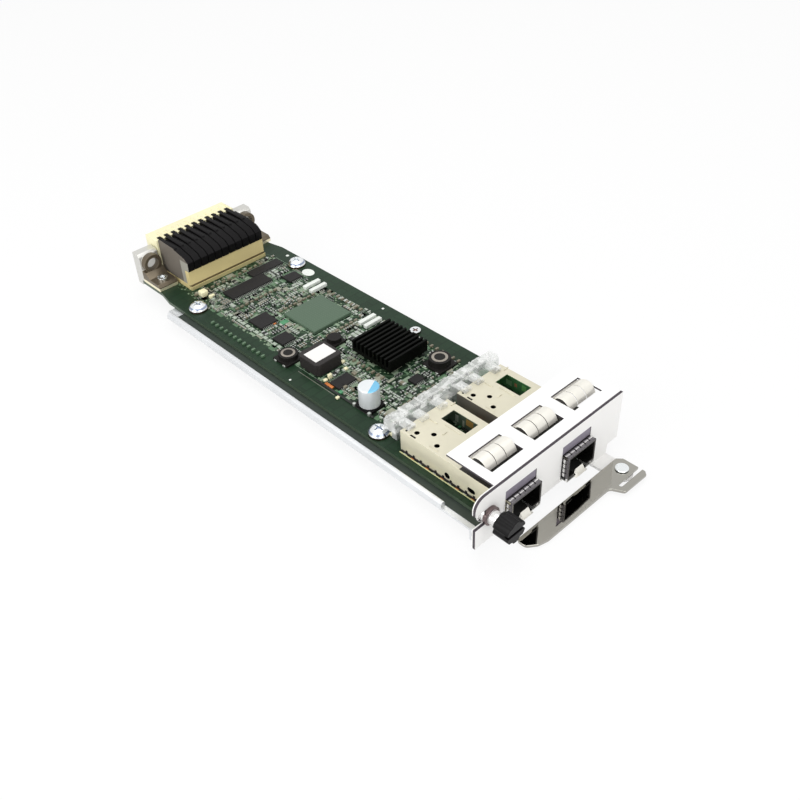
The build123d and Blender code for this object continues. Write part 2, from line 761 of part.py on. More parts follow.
# Connector wafers: a row of moulded signal wafers standing in the base
wafer_pitch = connector_width / wafer_count
with BuildPart() as connector_wafers:
    for index in range(wafer_count):
        wafer_x = connector_left_x + index * wafer_pitch
        with BuildSketch(Plane.YZ.offset(wafer_x + wafer_gap / 2)):
            with BuildLine():
                Polyline(
                    (connector_front_y + connector_wall, board_top + connector_floor),
                    (connector_front_y + connector_wall, board_top + connector_wall_height),
                    (connector_front_y - 0.3, board_top + connector_wall_height),
                    (connector_front_y - 0.5, wafer_top - wafer_nose_drop),
                    (connector_front_y + wafer_brow_y, wafer_top - wafer_brow_drop),
                    (connector_front_y + wafer_shoulder_y, wafer_top - wafer_ledge_drop),
                    (wafer_rear_y - wafer_tooth_length, wafer_top - wafer_ledge_drop),
                    (wafer_rear_y - wafer_tooth_length / 2, wafer_top - wafer_tooth_drop),
                    (wafer_rear_y, wafer_top - wafer_tooth_drop),
                    (wafer_rear_y, board_top + connector_floor), close=True,
                )
            make_face()
        extrude(amount=wafer_pitch - wafer_gap)
        with BuildSketch(Plane.YZ.offset(wafer_x + wafer_gap / 2)):
            with BuildLine():
                Polyline(
                    (connector_front_y + wafer_brow_y + 0.6, wafer_top - wafer_brow_drop - 0.2),
                    (connector_front_y + wafer_shoulder_y, wafer_top - wafer_ledge_drop - 0.3),
                    (connector_front_y + wafer_shoulder_y + 0.3, wafer_top),
                    (wafer_rear_y - wafer_tooth_length / 2, wafer_top + 0.3),
                    (wafer_rear_y, wafer_top - 0.4),
                    (wafer_rear_y, wafer_top - wafer_tooth_drop - 0.8),
                    (connector_front_y + wafer_brow_y + 0.6, wafer_top - wafer_nose_drop), close=True,
                )
            make_face()
        extrude(amount=wafer_rib)
finish(connector_wafers, "connector_wafers")

# Rear shroud of the connector with a grid of contact openings
with BuildPart() as connector_shroud:
    with BuildSketch(Plane.XZ.offset(-wafer_rear_y)):
        with Locations((connector_left_x - 0.6, shroud_bottom)):
            Rectangle(
                connector_width + 1.2, wafer_top - shroud_drop - shroud_bottom, align=(Align.MIN, Align.MIN),
            )
    extrude(amount=-(shroud_rear_y - wafer_rear_y))
    with BuildSketch(Plane.XZ.offset(-shroud_rear_y)):
        with Locations((connector_left_x + connector_width / 2, (wafer_top - shroud_drop + shroud_bottom) / 2)):
            with GridLocations(wafer_pitch / 2, contact_pitch_z, wafer_count * 2, contact_rows):
                Rectangle(contact_hole, contact_hole)
    extrude(amount=contact_depth, mode=Mode.SUBTRACT)
finish(connector_shroud, "connector_shroud")

# Guide blocks on both sides of the rear connector: foot, barrel and rear flange with a bore for a guide pin
for side, side_name in enumerate(("left", "right")):
    block_x = guide_left_x + side * guide_pitch
    block_mid = block_x + guide_width / 2
    with BuildPart() as guide_block:
        with BuildSketch(Plane.YZ.offset(block_x)):
            with BuildLine():
                Polyline(
                    (guide_low_front_y, board_top), (guide_low_front_y, guide_low_top - guide_chamfer),
                    (guide_low_front_y + guide_chamfer, guide_low_top), (guide_low_rear_y, guide_low_top),
                    (guide_boss_front_y, guide_seat_top), (guide_tall_front_y, guide_seat_top),
                    (guide_tall_front_y, guide_top - guide_chamfer),
                    (guide_tall_front_y + guide_chamfer, guide_top),
                    (guide_rear_y, guide_top), (guide_rear_y, guide_bottom),
                    (board_rear_y + 0.2, guide_bottom), (board_rear_y + 0.2, board_top), close=True,
                )
            make_face()
        extrude(amount=guide_width)
        with BuildSketch(Plane.XZ.offset(-guide_boss_front_y)):
            with Locations((block_mid, guide_bore_z)):
                Circle(guide_boss / 2)
        extrude(amount=-(guide_tall_front_y - guide_boss_front_y))
        with BuildSketch(Plane.XZ.offset(-guide_boss_front_y)):
            with Locations((block_mid, guide_bore_z)):
                Circle(guide_bore / 2)
        extrude(amount=-(guide_rear_y - guide_boss_front_y), mode=Mode.SUBTRACT)
        with BuildSketch(Plane.XY.offset(board_top)):
            with Locations((block_mid, guide_screw_y)):
                Circle(guide_shank / 2 + screw_hole_gap)
        extrude(amount=guide_low_top, mode=Mode.SUBTRACT)
    finish(guide_block, f"guide_block_{side_name}")

# Guide block screws with hexagon nuts under the board, one node for both
with BuildPart() as guide_screws:
    for side in range(2):
        screw_x = guide_left_x + guide_width / 2 + side * guide_pitch
        with BuildSketch(Plane.XY.offset(guide_nut_bottom)):
            with Locations((screw_x, guide_screw_y)):
                Circle(guide_shank / 2)
        extrude(amount=guide_low_top - guide_nut_bottom)
        with BuildSketch(Plane.XY.offset(guide_low_top)):
            with Locations((screw_x, guide_screw_y)):
                Circle(guide_screw_head / 2)
        extrude(amount=guide_screw_height)
        with BuildSketch(Plane.XY.offset(guide_low_top + guide_screw_height)):
            with Locations((screw_x, guide_screw_y)):
                RegularPolygon(guide_hexagon, 6)
        extrude(amount=-guide_screw_height * 0.7, mode=Mode.SUBTRACT)
        with BuildSketch(Plane.XY.offset(guide_nut_bottom)):
            with Locations((screw_x, guide_screw_y)):
                RegularPolygon(guide_nut, 6)
        extrude(amount=board_bottom - guide_nut_bottom)
finish(guide_screws, "guide_screws")

# Heat sink with parallel fins on its chip
with BuildPart() as sink_chip:
    with BuildSketch(Plane.XY.offset(board_top)):
        with Locations((sink_x + sink_size_x / 2, sink_y + sink_size_y / 2)):
            Rectangle(sink_size_x - 3, sink_size_y - 4)
    extrude(amount=sink_chip_height)
finish(sink_chip, "sink_chip")

with BuildPart() as heat_sink:
    with BuildSketch(Plane.XY.offset(board_top + sink_chip_height)):
        with Locations((sink_x, sink_y)):
            Rectangle(sink_size_x, sink_size_y, align=(Align.MIN, Align.MIN))
    extrude(amount=sink_base)
    fin_pitch = (sink_size_y - sink_fin) / (sink_fins - 1)
    with BuildSketch(Plane.XY.offset(board_top + sink_chip_height + sink_base)):
        for fin in range(sink_fins):
            with Locations((sink_x, sink_y + fin * fin_pitch)):
                Rectangle(sink_size_x, sink_fin, align=(Align.MIN, Align.MIN))
    extrude(amount=sink_top - board_top - sink_chip_height - sink_base)
finish(heat_sink, "heat_sink")

# Chips: the large one and the smaller black packages
with BuildPart() as main_chip:
    with BuildSketch(Plane.XY.offset(board_top)):
        with Locations((main_chip_x, main_chip_y)):
            Rectangle(main_chip_size, main_chip_size, align=(Align.MIN, Align.MIN))
    extrude(amount=main_chip_height)
    chamfer(main_chip.faces().sort_by(Axis.Z)[-1].edges(), 0.3)
finish(main_chip, "main_chip")

with BuildPart() as small_chips:
    for chip_x, chip_y, chip_width, chip_length in chip_places:
        with BuildSketch(Plane.XY.offset(board_top)):
            with Locations((chip_x, chip_y)):
                Rectangle(chip_width, chip_length)
        extrude(amount=chip_height)
finish(small_chips, "small_chips")

# Power section: shielded inductor with its blank label, drum inductors and the tall capacitor
with BuildPart() as power_inductor:
    with BuildSketch(Plane.XY.offset(board_top)):
        with Locations((core_x, core_y)):
            Rectangle(core_width, core_length, align=(Align.MIN, Align.MIN))
    extrude(amount=core_height)
    chamfer(power_inductor.edges().filter_by(Axis.Z), 1.4)
finish(power_inductor, "power_inductor")

with BuildPart() as inductor_label:
    with BuildSketch(Plane.XY.offset(board_top + core_height)):
        with Locations((core_x + core_width / 2, core_y + core_length / 2)):
            Rectangle(core_width - 3, core_length - 5)
    extrude(amount=0.12)
finish(inductor_label, "inductor_label")

with BuildPart() as drum_inductors:
    for drum_x, drum_y, drum_diameter, drum_height in drum_places:
        with BuildSketch(Plane.XY.offset(board_top)):
            with Locations((drum_x, drum_y)):
                Rectangle(drum_diameter + 1, drum_diameter + 1)
        extrude(amount=1.0)
        with BuildSketch(Plane.XY.offset(board_top + 1.0)):
            with Locations((drum_x, drum_y)):
                Circle(drum_diameter / 2)
        extrude(amount=drum_height - 1.0)
finish(drum_inductors, "drum_inductors")

with BuildPart() as capacitor_base:
    with BuildSketch(Plane.XY.offset(board_top)) as base_outline:
        with Locations((capacitor_x, capacitor_y)):
            Rectangle(capacitor_diameter + 0.7, capacitor_diameter + 0.7)
        chamfer(base_outline.vertices().group_by(Axis.X)[0], 1.6)
    extrude(amount=capacitor_base_height)
finish(capacitor_base, "capacitor_base")

with BuildPart() as capacitor_can:
    with BuildSketch(Plane.XY.offset(board_top + capacitor_base_height)):
        with Locations((capacitor_x, capacitor_y)):
            Circle(capacitor_diameter / 2)
    extrude(amount=capacitor_height - capacitor_base_height)
    fillet(capacitor_can.faces().sort_by(Axis.Z)[-1].edges(), 0.5)
finish(capacitor_can, "capacitor_can")

# Small ceramic parts and white header strips, placed in rows
with BuildPart() as ceramic_parts:
    for row_x, row_y, step_x, step_y, number in ceramic_rows:
        for index in range(number):
            with BuildSketch(Plane.XY.offset(board_top)):
                with Locations((row_x + index * step_x, row_y + index * step_y)):
                    Rectangle(ceramic_width, ceramic_length)
            extrude(amount=ceramic_height)
finish(ceramic_parts, "ceramic_parts")

with BuildPart() as header_strips:
    for strip_x, strip_y in strip_places:
        with BuildSketch(Plane.XY.offset(board_top)):
            with Locations((strip_x, strip_y)):
                Rectangle(strip_length, strip_width)
        extrude(amount=strip_height)
finish(header_strips, "header_strips")

# Captive screw ferrule: pressed in the notch of the faceplate, with an inner lip that stops the ring
ferrule_rear_y = plate_thickness + ferrule_flange_thickness
ferrule_stop_y = ferrule_front_y + ferrule_lip
with BuildPart() as screw_ferrule:
    with BuildSketch(Plane.XZ.offset(-ferrule_front_y)):
        with Locations((screw_axis_x, screw_axis_z)):
            Circle(ferrule_diameter / 2)
    extrude(amount=ferrule_front_y)
    with BuildSketch(Plane.XZ.offset(-ferrule_base_y)):
        with Locations((screw_axis_x, screw_axis_z)):
            Circle(ferrule_base / 2 + notch_clearance)
    extrude(amount=ferrule_base_y)
    with BuildSketch(Plane.XZ):
        with Locations((screw_axis_x, screw_axis_z)):
            Circle(notch_height / 2 - notch_clearance)
    extrude(amount=-plate_thickness)
    with BuildSketch(Plane.XZ.offset(-plate_thickness)):
        with Locations((screw_axis_x, screw_axis_z)):
            Circle(ferrule_flange / 2)
    extrude(amount=-ferrule_flange_thickness)
    with BuildSketch(Plane.XZ.offset(-ferrule_stop_y)):
        with Locations((screw_axis_x, screw_axis_z)):
            Circle(ferrule_bore / 2)
    extrude(amount=-(ferrule_rear_y - ferrule_stop_y), mode=Mode.SUBTRACT)
    with BuildSketch(Plane.XZ.offset(-ferrule_front_y)):
        with Locations((screw_axis_x, screw_axis_z)):
            Circle(neck_diameter / 2 + running_gap)
    extrude(amount=-ferrule_lip, mode=Mode.SUBTRACT)
finish(screw_ferrule, "screw_ferrule")

# Captive screw shaft: neck with the ring's groove, then the thread at its outer diameter
knob_socket_y = thumb_rear_y - knob_socket_depth
thread_front_y = ferrule_rear_y + thread_start_gap
clip_front_y = ferrule_stop_y + clip_stop_gap + shaft_travel
with BuildPart() as screw_shaft:
    with BuildSketch(Plane.XZ.offset(-knob_socket_y)):
        with Locations((screw_axis_x, screw_axis_z)):
            Circle(neck_diameter / 2)
    extrude(amount=-(thread_front_y - knob_socket_y))
    with BuildSketch(Plane.XZ.offset(-clip_front_y + clip_groove_gap)):
        with Locations((screw_axis_x, screw_axis_z)):
            Circle(neck_diameter / 2 + running_gap)
            Circle(neck_diameter / 2 - clip_groove_depth, mode=Mode.SUBTRACT)
    extrude(amount=-(clip_thickness + 2 * clip_groove_gap), mode=Mode.SUBTRACT)
    with BuildSketch(Plane.XZ.offset(-thread_front_y)):
        with Locations((screw_axis_x, screw_axis_z)):
            Circle(shaft_diameter / 2)
    extrude(amount=-(shaft_rear_y - thread_front_y))
    chamfer(screw_shaft.faces().sort_by(Axis.Y)[-1].edges(), shaft_chamfer)
finish(screw_shaft, "screw_shaft")

# Captive screw knob with broad grip flutes and a driver slot
with BuildPart() as screw_knob:
    with BuildSketch(Plane.XZ.offset(-thumb_front_y)):
        with Locations((screw_axis_x, screw_axis_z)):
            Circle(thumb_diameter / 2)
            with PolarLocations(thumb_diameter / 2 + flute_depth_offset, flute_count):
                Circle(flute_radius, mode=Mode.SUBTRACT)
    extrude(amount=-(thumb_rear_y - thumb_front_y))
    with BuildSketch(Plane.XZ.offset(-thumb_front_y)):
        with Locations((screw_axis_x, screw_axis_z)):
            Rectangle(thumb_diameter, driver_slot_width)
    extrude(amount=-driver_slot_depth, mode=Mode.SUBTRACT)
    with BuildSketch(Plane.XZ.offset(-thumb_rear_y)):
        with Locations((screw_axis_x, screw_axis_z)):
            Circle(neck_diameter / 2)
    extrude(amount=knob_socket_depth, mode=Mode.SUBTRACT)
finish(screw_knob, "screw_knob")

# Retaining ring in the neck's groove, which meets the ferrule's lip when the screw is drawn out
with BuildPart() as screw_clip:
    with BuildSketch(Plane.XZ.offset(-clip_front_y)):
        with Locations((screw_axis_x, screw_axis_z)):
            Circle(clip_diameter / 2)
            Circle(neck_diameter / 2 - clip_groove_depth + running_gap, mode=Mode.SUBTRACT)
    extrude(amount=-clip_thickness)
finish(screw_clip, "screw_clip")

# Ejector lever: flat strip with a bowed left end, a low web and a slotted claw at the pivot
lever_bottom = lever_top - lever_sheet
with BuildPart() as ejector_lever:
    with BuildSketch(Plane.XY.offset(lever_bottom)) as strip:
        with BuildLine():
            Polyline(*((pivot_x + x, y) for x, y in lever_outline), close=True)
        make_face()
        for corner_x, corner_y, corner_radius in lever_corners:
            near = strip.vertices().sort_by_distance((pivot_x + corner_x, corner_y, 0))
            fillet(near[0], corner_radius)
        with Locations((pivot_x + claw_slot_offset, claw_slot_y)):
            SlotOverall(claw_slot_length, claw_slot_width, mode=Mode.SUBTRACT)
        with Locations((pivot_x, pivot_y)):
            Circle(pivot_diameter / 2 + running_gap, mode=Mode.SUBTRACT)
    extrude(amount=lever_sheet)
    with BuildSketch(Plane.XY.offset(lever_bottom)):
        with Locations((pivot_x + web_left, web_front_y)):
            Rectangle(web_right - web_left, web_rear_y - web_front_y, align=(Align.MIN, Align.MIN))
    extrude(amount=lever_web_top - lever_bottom)
finish(ejector_lever, "ejector_lever")

# Pivot rivet: headed pin through the lever and fixed in the ear
with BuildPart() as lever_pivot:
    with BuildSketch(Plane.XY.offset(ear_bottom)):
        with Locations((pivot_x, pivot_y)):
            Circle(pivot_diameter / 2)
    extrude(amount=lever_top + pivot_head_gap + pivot_head_thickness - ear_bottom)
    with BuildSketch(Plane.XY.offset(lever_top + pivot_head_gap)):
        with Locations((pivot_x, pivot_y)):
            Circle(pivot_head / 2)
    extrude(amount=pivot_head_thickness)
    fillet(lever_pivot.faces().sort_by(Axis.Z)[-1].edges(), pivot_head_thickness / 2)
finish(lever_pivot, "lever_pivot")
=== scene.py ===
"""Looks of a two-port interface card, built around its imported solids.

Lengths are in metres in the frame of the solids: X along the faceplate, Y to the rear, Z up.
"""

import json
import logging
import math
import random
from dataclasses import dataclass, field
from enum import Enum

import bmesh
import bpy
from mathutils import Matrix, Vector

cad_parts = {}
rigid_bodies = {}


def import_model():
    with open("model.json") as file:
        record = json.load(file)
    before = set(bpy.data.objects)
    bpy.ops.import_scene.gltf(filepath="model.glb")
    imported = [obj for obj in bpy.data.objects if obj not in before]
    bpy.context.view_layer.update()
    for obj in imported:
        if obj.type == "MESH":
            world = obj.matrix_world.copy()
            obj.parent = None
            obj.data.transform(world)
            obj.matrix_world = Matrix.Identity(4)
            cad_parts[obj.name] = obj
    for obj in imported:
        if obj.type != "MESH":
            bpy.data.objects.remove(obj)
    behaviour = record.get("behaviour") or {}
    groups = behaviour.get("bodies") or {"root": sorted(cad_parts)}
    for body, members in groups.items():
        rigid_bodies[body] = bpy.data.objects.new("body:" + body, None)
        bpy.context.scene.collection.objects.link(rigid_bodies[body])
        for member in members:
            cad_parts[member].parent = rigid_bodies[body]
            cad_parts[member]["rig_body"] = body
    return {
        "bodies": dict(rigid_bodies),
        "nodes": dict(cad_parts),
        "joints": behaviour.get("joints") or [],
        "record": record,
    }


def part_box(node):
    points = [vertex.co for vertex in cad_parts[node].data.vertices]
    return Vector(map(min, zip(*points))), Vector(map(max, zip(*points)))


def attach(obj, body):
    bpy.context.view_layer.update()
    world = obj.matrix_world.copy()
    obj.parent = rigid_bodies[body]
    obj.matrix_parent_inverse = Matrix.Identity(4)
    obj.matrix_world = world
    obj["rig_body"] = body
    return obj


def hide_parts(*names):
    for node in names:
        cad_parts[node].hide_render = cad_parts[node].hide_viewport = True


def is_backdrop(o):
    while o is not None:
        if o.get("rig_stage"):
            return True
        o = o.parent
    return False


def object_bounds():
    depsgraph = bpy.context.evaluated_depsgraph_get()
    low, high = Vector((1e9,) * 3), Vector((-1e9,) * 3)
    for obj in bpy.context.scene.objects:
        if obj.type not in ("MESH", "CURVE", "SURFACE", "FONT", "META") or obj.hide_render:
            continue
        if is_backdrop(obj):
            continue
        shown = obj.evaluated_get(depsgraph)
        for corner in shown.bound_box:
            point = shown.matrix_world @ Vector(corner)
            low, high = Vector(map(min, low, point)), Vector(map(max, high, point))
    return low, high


MM = 0.001
LOG = logging.getLogger("interface_card")


def srgb(red: float, green: float, blue: float) -> tuple[float, float, float]:
    """Turns display values from 0 to 255 into the linear values that shaders take.

    Args:
        red: Display red.
        green: Display green.
        blue: Display blue.

    Returns:
        The linear colour.
    """
    out = []
    for value in (red, green, blue):
        part = value / 255.0
        out.append(part / 12.92 if part <= 0.04045 else ((part + 0.055) / 1.055) ** 2.4)
    return out[0], out[1], out[2]


class Grain(Enum):
    """How a finish's fine texture is stretched, as scale factors along X, Y and Z."""

    EVEN = (1.0, 1.0, 1.0)
    ALONG_X = (0.04, 1.0, 1.0)
    ALONG_Y = (1.0, 0.04, 1.0)


@dataclass(frozen=True)
class Finish:
    """One surface finish and the numbers that its shader takes."""

    name: str
    colour: tuple[float, float, float]
    roughness: float = 0.5
    metallic: float = 0.0
    grain: Grain = Grain.EVEN
    grain_scale: float = 1500.0
    broad_scale: float = 60.0
    variation: float = 0.06
    spread: float = 0.12
    bump: float = 0.15
    specular: float = 0.5


PLATE_WHITE = Finish("plate_white", srgb(242, 241, 239), 0.42, grain_scale=2600, variation=0.015, bump=0.06)
SHIELD_WHITE = Finish(
    "shield_white", srgb(244, 244, 243), 0.4, grain_scale=2600, variation=0.015, bump=0.06,
)
EDGE_GREY = Finish(
    "edge_grey", srgb(72, 66, 72), 0.5, grain_scale=1500, variation=0.1, bump=0.1, specular=0.2,
)
TRAY_ZINC = Finish("tray_zinc", srgb(222, 224, 226), 0.34, 0.6, Grain.ALONG_Y, 1400, 40, 0.08, 0.1, 0.05)
FILM_GREY = Finish("film_grey", srgb(60, 68, 62), 0.5, grain_scale=900, bump=0.05, specular=0.15)
SCREW_NICKEL = Finish(
    "screw_nickel", srgb(232, 235, 236), 0.22, 1.0, grain_scale=600, variation=0.05, bump=0.01,
)
CAGE_TIN = Finish("cage_tin", srgb(214, 209, 188), 0.4, 0.45, Grain.EVEN, 500, 70, 0.04, 0.1, 0.02)
COLLAR_STEEL = Finish(
    "collar_steel", srgb(108, 105, 108), 0.3, 0.8, Grain.ALONG_Y, 1500, 120, 0.08, 0.1, 0.03,
)
SEAL_GREY = Finish(
    "seal_grey", srgb(132, 126, 138), 0.7, grain_scale=2400, variation=0.22, bump=0.5, specular=0.3,
)
MOULD_BLACK = Finish(
    "mould_black", srgb(18, 17, 18), 0.42, grain_scale=1400, variation=0.2, bump=0.1, specular=0.08,
)
SPRING_TIN = Finish("spring_tin", srgb(236, 233, 224), 0.3, 0.35, Grain.EVEN, 900, 120, 0.02, 0.05, 0.0)
HOUSING_CREAM = Finish("housing_cream", srgb(214, 197, 142), 0.5, grain_scale=1300, variation=0.05, bump=0.05,
                       specular=0.3)
SHROUD_CREAM = Finish("shroud_cream", srgb(244, 238, 198), 0.5, grain_scale=1300, variation=0.04, bump=0.05)
BLOCK_ZINC = Finish("block_zinc", srgb(104, 94, 78), 0.34, 0.6, grain_scale=700, variation=0.2, bump=0.1)
CHIP_BLACK = Finish(
    "chip_black", srgb(38, 37, 37), 0.55, grain_scale=2400, variation=0.1, bump=0.1, specular=0.15,
)
SINK_BLACK = Finish("sink_black", srgb(7, 8, 6), 0.45, 0.0, Grain.ALONG_X, 1600, 80, 0.2, 0.1, 0.1,
                    specular=0.06)
CORE_GREY = Finish(
    "core_grey", srgb(46, 43, 42), 0.5, grain_scale=1800, variation=0.12, bump=0.1, specular=0.2,
)
DRUM_BLACK = Finish(
    "drum_black", srgb(26, 24, 23), 0.5, grain_scale=1800, variation=0.12, bump=0.1, specular=0.15,
)
DRUM_PALE = Finish(
    "drum_pale", srgb(150, 143, 134), 0.5, grain_scale=1500, variation=0.3, bump=0.1, specular=0.2,
)
LABEL_WHITE = Finish("label_white", srgb(240, 238, 235), 0.6, grain_scale=3000, variation=0.02, bump=0.05)
TAN_CERAMIC = Finish("tan_ceramic", srgb(124, 118, 100), 0.45, grain_scale=1800, variation=0.15, bump=0.1)
DARK_CERAMIC = Finish("dark_ceramic", srgb(44, 46, 44), 0.45, grain_scale=1800, variation=0.15, bump=0.1,
                      specular=0.2)
PALE_CERAMIC = Finish("pale_ceramic", srgb(168, 180, 164), 0.45, grain_scale=1800, variation=0.1, bump=0.1)
SOLDER = Finish("solder", srgb(190, 194, 188), 0.35, 0.7, grain_scale=1800, variation=0.1, bump=0.1)
STRIP_WHITE = Finish("strip_white", srgb(232, 236, 230), 0.4, grain_scale=1600, variation=0.06, bump=0.1)
TURNED_STEEL = Finish(
    "turned_steel", srgb(232, 231, 230), 0.2, 0.9, grain_scale=900, variation=0.04, bump=0.01,
)
KNOB_BLACK = Finish(
    "knob_black", srgb(11, 10, 11), 0.38, grain_scale=1500, variation=0.1, bump=0.06, specular=0.16,
)
LEVER_STEEL = Finish(
    "lever_steel", srgb(164, 162, 155), 0.03, 1.0, Grain.ALONG_X, 1200, 60, 0.03, 0.04, 0.01,
)
COPPER = Finish("copper", srgb(196, 116, 58), 0.4, 0.3, grain_scale=1500, variation=0.1, bump=0.1)
BRIGHT_GREEN = Finish("bright_green", srgb(74, 140, 98), 0.5, grain_scale=1500, variation=0.1, bump=0.05)
SILK_PALE = Finish("silk_pale", srgb(150, 168, 150), 0.6, grain_scale=1500, variation=0.15, bump=0.05)
AREA_MID = Finish(
    "area_mid", srgb(92, 120, 92), 0.4, grain_scale=900, variation=0.25, bump=0.03, specular=0.2,
)
AREA_PALE = Finish(
    "area_pale", srgb(136, 154, 130), 0.4, grain_scale=1500, variation=0.35, bump=0.03, specular=0.2,
)
AREA_DARK = Finish(
    "area_dark", srgb(24, 36, 26), 0.4, grain_scale=900, variation=0.25, bump=0.03, specular=0.2,
)
AREA_GREY = Finish(
    "area_grey", srgb(150, 152, 136), 0.45, grain_scale=1800, variation=0.4, bump=0.05, specular=0.2,
)
TRACK_GREY = Finish("track_grey", srgb(112, 112, 102), 0.5, grain_scale=1500, variation=0.15, bump=0.05)
PAD_YELLOW = Finish("pad_yellow", srgb(196, 196, 148), 0.5, grain_scale=1500, variation=0.15, bump=0.05)
BOARD_GREEN = Finish("board_green", srgb(32, 53, 36), 0.35, grain_scale=700, broad_scale=90, variation=0.16,
                     spread=0.1, bump=0.05, specular=0.16)
PACKAGE_GREEN = Finish("package_green", srgb(84, 104, 86), 0.5, grain_scale=900, variation=0.04, bump=0.05,
                       specular=0.25)
GUIDE_CLEAR = Finish("guide_clear", srgb(246, 247, 245), 0.12, grain_scale=500, variation=0.03, bump=0.25)
CAN_ALUMINIUM = Finish(
    "can_aluminium", srgb(226, 230, 232), 0.34, 0.3, Grain.EVEN, 300, 80, 0.02, 0.04, 0.0,
)
GOLD_CONTACT = Finish(
    "gold_contact", srgb(226, 190, 110), 0.22, 1.0, grain_scale=1500, variation=0.05, bump=0.02,
)


class Graph:
    """Adds nodes to one node tree and links them."""

    def __init__(self, tree: bpy.types.NodeTree) -> None:
        """Keeps the tree.

        Args:
            tree: The node tree.
        """
        self.tree = tree

    def feed(self, socket: bpy.types.NodeSocket, value: object) -> None:
        """Links an input to an output, or sets it to a value.

        Args:
            socket: The input.
            value: An output socket, a number, a vector or a colour.
        """
        if isinstance(value, bpy.types.NodeSocket):
            self.tree.links.new(value, socket)
            return
        socket.default_value = value

    def add(self, kind: str, inputs: dict, **settings: object) -> bpy.types.Node:
        """Adds a shader node.

        Args:
            kind: Its type, without the words ShaderNode.
            inputs: What each input takes, by name or number.
            settings: The node's own properties.

        Returns:
            The node.
        """
        node = self.tree.nodes.new(f"ShaderNode{kind}")
        for name, value in settings.items():
            setattr(node, name, value)
        for name, value in inputs.items():
            self.feed(node.inputs[name], value)
        return node

    def math(self, operation: str, *values: object) -> bpy.types.NodeSocket:
        """Adds a math node.

        Args:
            operation: What it does.
            values: Its inputs in order.

        Returns:
            Its result.
        """
        return self.add("Math", dict(enumerate(values)), operation=operation).outputs["Value"]

    def mix(self, factor: object, below: object, above: object) -> bpy.types.NodeSocket:
        """Mixes two colours.

        Args:
            factor: Share of the second.
            below: The first colour.
            above: The second colour.

        Returns:
            The mixed colour.
        """
        inputs = {"Factor": factor, "A": below, "B": above}
        return self.add("Mix", inputs, data_type="RGBA").outputs["Result"]

    def fit(
        self, value: bpy.types.NodeSocket, low: float, high: float, to_low: object = 0.0,
        to_high: object = 1.0,
    ) -> bpy.types.NodeSocket:
        """Maps a range of values to another and holds them there.

        Args:
            value: The values.
            low: Where the range starts.
            high: Where it ends.
            to_low: What its start becomes.
            to_high: What its end becomes.

        Returns:
            The mapped values.
        """
        inputs = {"Value": value, "From Min": low, "From Max": high, "To Min": to_low, "To Max": to_high}
        return self.add("MapRange", inputs).outputs["Result"]


class Coat(Graph):
    """One material: the shader, and the colour and height that are being built for it."""

    def __init__(self, name: str, finish: Finish, surface: bpy.types.NodeTree) -> None:
        """Starts a material from a finish.

        Args:
            name: Name of the material.
            finish: The finish.
            surface: The group that varies a finish.
        """
        self.material = bpy.data.materials.new(name)
        self.material.use_nodes = True
        super().__init__(self.material.node_tree)
        self.shader = self.tree.nodes["Principled BSDF"]
        self.place = self.add("TexCoord", {}).outputs["Object"]
        stretched = self.add("Mapping", {"Vector": self.place, "Scale": finish.grain.value}).outputs["Vector"]
        dark = [channel * (1.0 - finish.variation) for channel in finish.colour]
        light = [min(1.0, channel * (1.0 + finish.variation)) for channel in finish.colour]
        half = finish.spread / 2
        inputs = {
            "Vector": self.place, "Stretched": stretched, "Dark": (*dark, 1.0), "Light": (*light, 1.0),
            "Grain Scale": finish.grain_scale, "Broad Scale": finish.broad_scale,
            "Low": max(0.02, finish.roughness - half), "High": finish.roughness + half,
        }
        varied = self.add("Group", inputs, node_tree=surface).outputs
        self.colour = varied["Colour"]
        self.height = varied["Height"]
        self.bump_strength = finish.bump
        self.bump_distance = 0.06 * MM
        self.feed(self.shader.inputs["Roughness"], varied["Roughness"])
        self.feed(self.shader.inputs["Metallic"], finish.metallic)
        self.feed(self.shader.inputs["Specular IOR Level"], finish.specular)

    def within(self, *bands: tuple[str, float, float]) -> bpy.types.NodeSocket:
        """Makes a mask that is one inside bands along axes.

        Args:
            bands: Axis, start and end of each band, in metres.

        Returns:
            The mask.
        """
        split = self.add("SeparateXYZ", {"Vector": self.place}).outputs
        masks = []
        for axis, low, high in bands:
            masks += [self.math("GREATER_THAN", split[axis], low), self.math("LESS_THAN", split[axis], high)]
        mask = masks[0]
        for other in masks[1:]:
            mask = self.math("MULTIPLY", mask, other)
        return mask

    def over(self, mask: bpy.types.NodeSocket, colour: tuple[float, float, float]) -> None:
        """Lays a colour over what is there, where a mask is one.

        Args:
            mask: The mask.
            colour: The colour on top.
        """
        self.colour = self.mix(mask, self.colour, (*colour, 1.0))

    def done(self) -> bpy.types.Material:
        """Feeds colour and height to the shader and gives the material.

        Returns:
            The material.
        """
        inputs = {"Strength": self.bump_strength, "Distance": self.bump_distance, "Height": self.height}
        self.feed(self.shader.inputs["Normal"], self.add("Bump", inputs).outputs["Normal"])
        self.feed(self.shader.inputs["Base Color"], self.colour)
        return self.material


